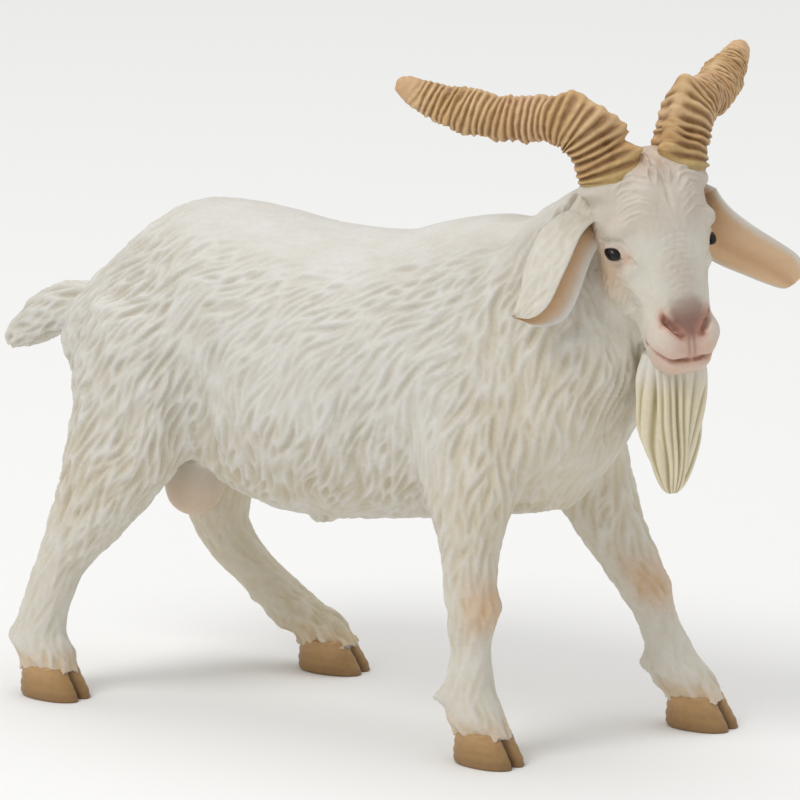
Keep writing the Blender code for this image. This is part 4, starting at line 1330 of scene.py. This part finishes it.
def ramp(tree, value, low, high, ends=(0.0, 1.0)):
    """A colour that goes from low to high as a value goes from one end to the other."""
    node = tree.nodes.new("ShaderNodeValToRGB")
    for element, colour, end in zip(node.color_ramp.elements, (low, high), ends):
        element.position = end
        element.color = (*colour, 1)
    tree.links.new(value, node.inputs["Fac"])
    return node.outputs["Color"]


@functools.cache
def plastic(name, roughness, grain, mottle, subsurface):
    """Painted vinyl: the piece's vertex colours, its paint with painted shade, mottled by two noises, with a
    fine moulded grain.
    """
    material, surface, tree = new_material(name)
    paint = tree.nodes.new("ShaderNodeVertexColor")
    paint.layer_name = "paint"
    where = tree.nodes.new("ShaderNodeTexCoord").outputs["Object"]
    colour = paint.outputs["Color"]
    for scale, low, detail in ((240, 1 - mottle, 3), (1500, 1 - mottle * 0.6, 2)):
        speckle = ramp(tree, noise(tree, scale, detail, where), (low, low * 0.985, low * 0.95), (1, 1, 1),
                       ends=(0.32, 0.66))
        mix = tree.nodes.new("ShaderNodeMix")
        mix.data_type = "RGBA"
        mix.blend_type = "MULTIPLY"
        set_inputs(mix, Factor=1)
        tree.links.new(colour, mix.inputs["A"])
        tree.links.new(speckle, mix.inputs["B"])
        colour = mix.outputs["Result"]
    tree.links.new(colour, surface.inputs["Base Color"])
    spread = tree.nodes.new("ShaderNodeMapRange")
    set_inputs(spread, To_Min=roughness - 0.09, To_Max=roughness + 0.09)
    tree.links.new(noise(tree, 420, where=where), spread.inputs["Value"])
    tree.links.new(spread.outputs["Result"], surface.inputs["Roughness"])
    relief = tree.nodes.new("ShaderNodeBump")
    set_inputs(relief, Strength=grain, Distance=0.00012)
    tree.links.new(noise(tree, 3200, 3, where), relief.inputs["Height"])
    tree.links.new(relief.outputs["Normal"], surface.inputs["Normal"])
    set_inputs(surface, Subsurface_Weight=subsurface, Subsurface_Radius=(1.0, 0.7, 0.45),
               Subsurface_Scale=0.0012, IOR=1.46)
    return material


def coat_material():
    return plastic("white_vinyl", roughness=0.50, grain=0.35, mottle=0.05, subsurface=0.06)


def horn_material():
    return plastic("horn_paint", roughness=0.52, grain=0.6, mottle=0.16, subsurface=0.04)


def hoof_material():
    return plastic("hoof_paint", roughness=0.42, grain=0.35, mottle=0.14, subsurface=0.06)


@functools.cache
def eye_material():
    """Glossy black paint."""
    material, surface, tree = new_material("eye_gloss")
    black = ramp(tree, noise(tree, 900), (0.004, 0.003, 0.003), (0.016, 0.012, 0.010))
    tree.links.new(black, surface.inputs["Base Color"])
    set_inputs(surface, Roughness=0.2, Specular_IOR_Level=0.3, Coat_Weight=0.1)
    return material


# ---------------------------------------------------------------- stage

VIEW_AZIMUTH, VIEW_ELEVATION = math.radians(31.0), math.radians(13.2)
VIEW_DISTANCE = 1400.0
FRAME_WIDTH = 96.4  # what the camera takes in at the goat
AIM = TRUNK + (-21.0, 0.0, 38.97)
FLOOR_REACH = 20.0  # metres
SKY_STRENGTH = 0.62


def heading(azimuth, elevation):
    """The direction from the goat to a camera or a lamp; azimuth 0 is its right side. In radians."""
    return np.array([math.sin(azimuth) * math.cos(elevation),
                     -math.cos(azimuth) * math.cos(elevation), math.sin(elevation)])


def make_camera():
    """A long lens at the photograph's angle."""
    back = heading(VIEW_AZIMUTH, VIEW_ELEVATION)
    camera = bpy.data.objects.new("camera", bpy.data.cameras.new("camera"))
    bpy.context.scene.collection.objects.link(camera)
    camera.location = Vector((AIM + back * VIEW_DISTANCE) * MM)
    camera.rotation_euler = Vector(-back).to_track_quat("-Z", "Y").to_euler()
    camera.data.sensor_width = 36
    camera.data.lens = camera.data.sensor_width * VIEW_DISTANCE / FRAME_WIDTH
    camera.data.clip_start = 0.01
    camera.data.clip_end = 50
    bpy.context.scene.camera = camera


def area_light(name, azimuth, elevation, distance, size, power, colour):
    """A round soft lamp aimed at the goat. Angles are in degrees, the distance and the size in metres."""
    away = heading(math.radians(azimuth), math.radians(elevation))
    lamp = bpy.data.objects.new(name, bpy.data.lights.new(name, "AREA"))
    bpy.context.scene.collection.objects.link(lamp)
    lamp.data.shape = "DISK"
    lamp.data.size = size
    lamp.data.energy = power
    lamp.data.color = colour
    lamp.location = Vector((AIM * MM) + away * distance)
    lamp.rotation_euler = Vector(-away).to_track_quat("-Z", "Y").to_euler()


def make_floor():
    """A wide sweep of pale paper."""
    form = bmesh.new()
    bmesh.ops.create_grid(form, x_segments=8, y_segments=8, size=FLOOR_REACH)
    mesh = bpy.data.meshes.new("floor")
    form.to_mesh(mesh)
    form.free()
    material, surface, tree = new_material("pale_paper")
    tree.links.new(ramp(tree, noise(tree, 40), (0.90, 0.90, 0.895), (0.93, 0.93, 0.925)),
                   surface.inputs["Base Color"])
    set_inputs(surface, Roughness=0.9, Specular_IOR_Level=0.1)
    mesh.materials.append(material)
    floor = bpy.data.objects.new("floor", mesh)
    bpy.context.scene.collection.objects.link(floor)


def make_light():
    """A key lamp, a top lamp behind the goat and an even white sky."""
    area_light("key", azimuth=-20, elevation=52, distance=0.9, size=0.4, power=2.7, colour=(1.0, 0.99, 0.97))
    area_light("top", azimuth=200, elevation=75, distance=0.9, size=0.7, power=1.9, colour=(1.0, 1.0, 1.0))
    world = bpy.data.worlds.new("studio")
    bpy.context.scene.world = world
    world.use_nodes = True
    set_inputs(world.node_tree.nodes["Background"], Color=(1.0, 1.0, 1.0, 1), Strength=SKY_STRENGTH)
    bpy.context.scene.view_settings.view_transform = "Standard"


coat_pieces()
for side_name in ("right", "left"):
    make_horn(side_name)
    make_ear(side_name)
    make_eye(side_name)
make_beard()
for leg_name in LEGS:
    make_hoof(leg_name)
make_floor()
make_light()
make_camera()
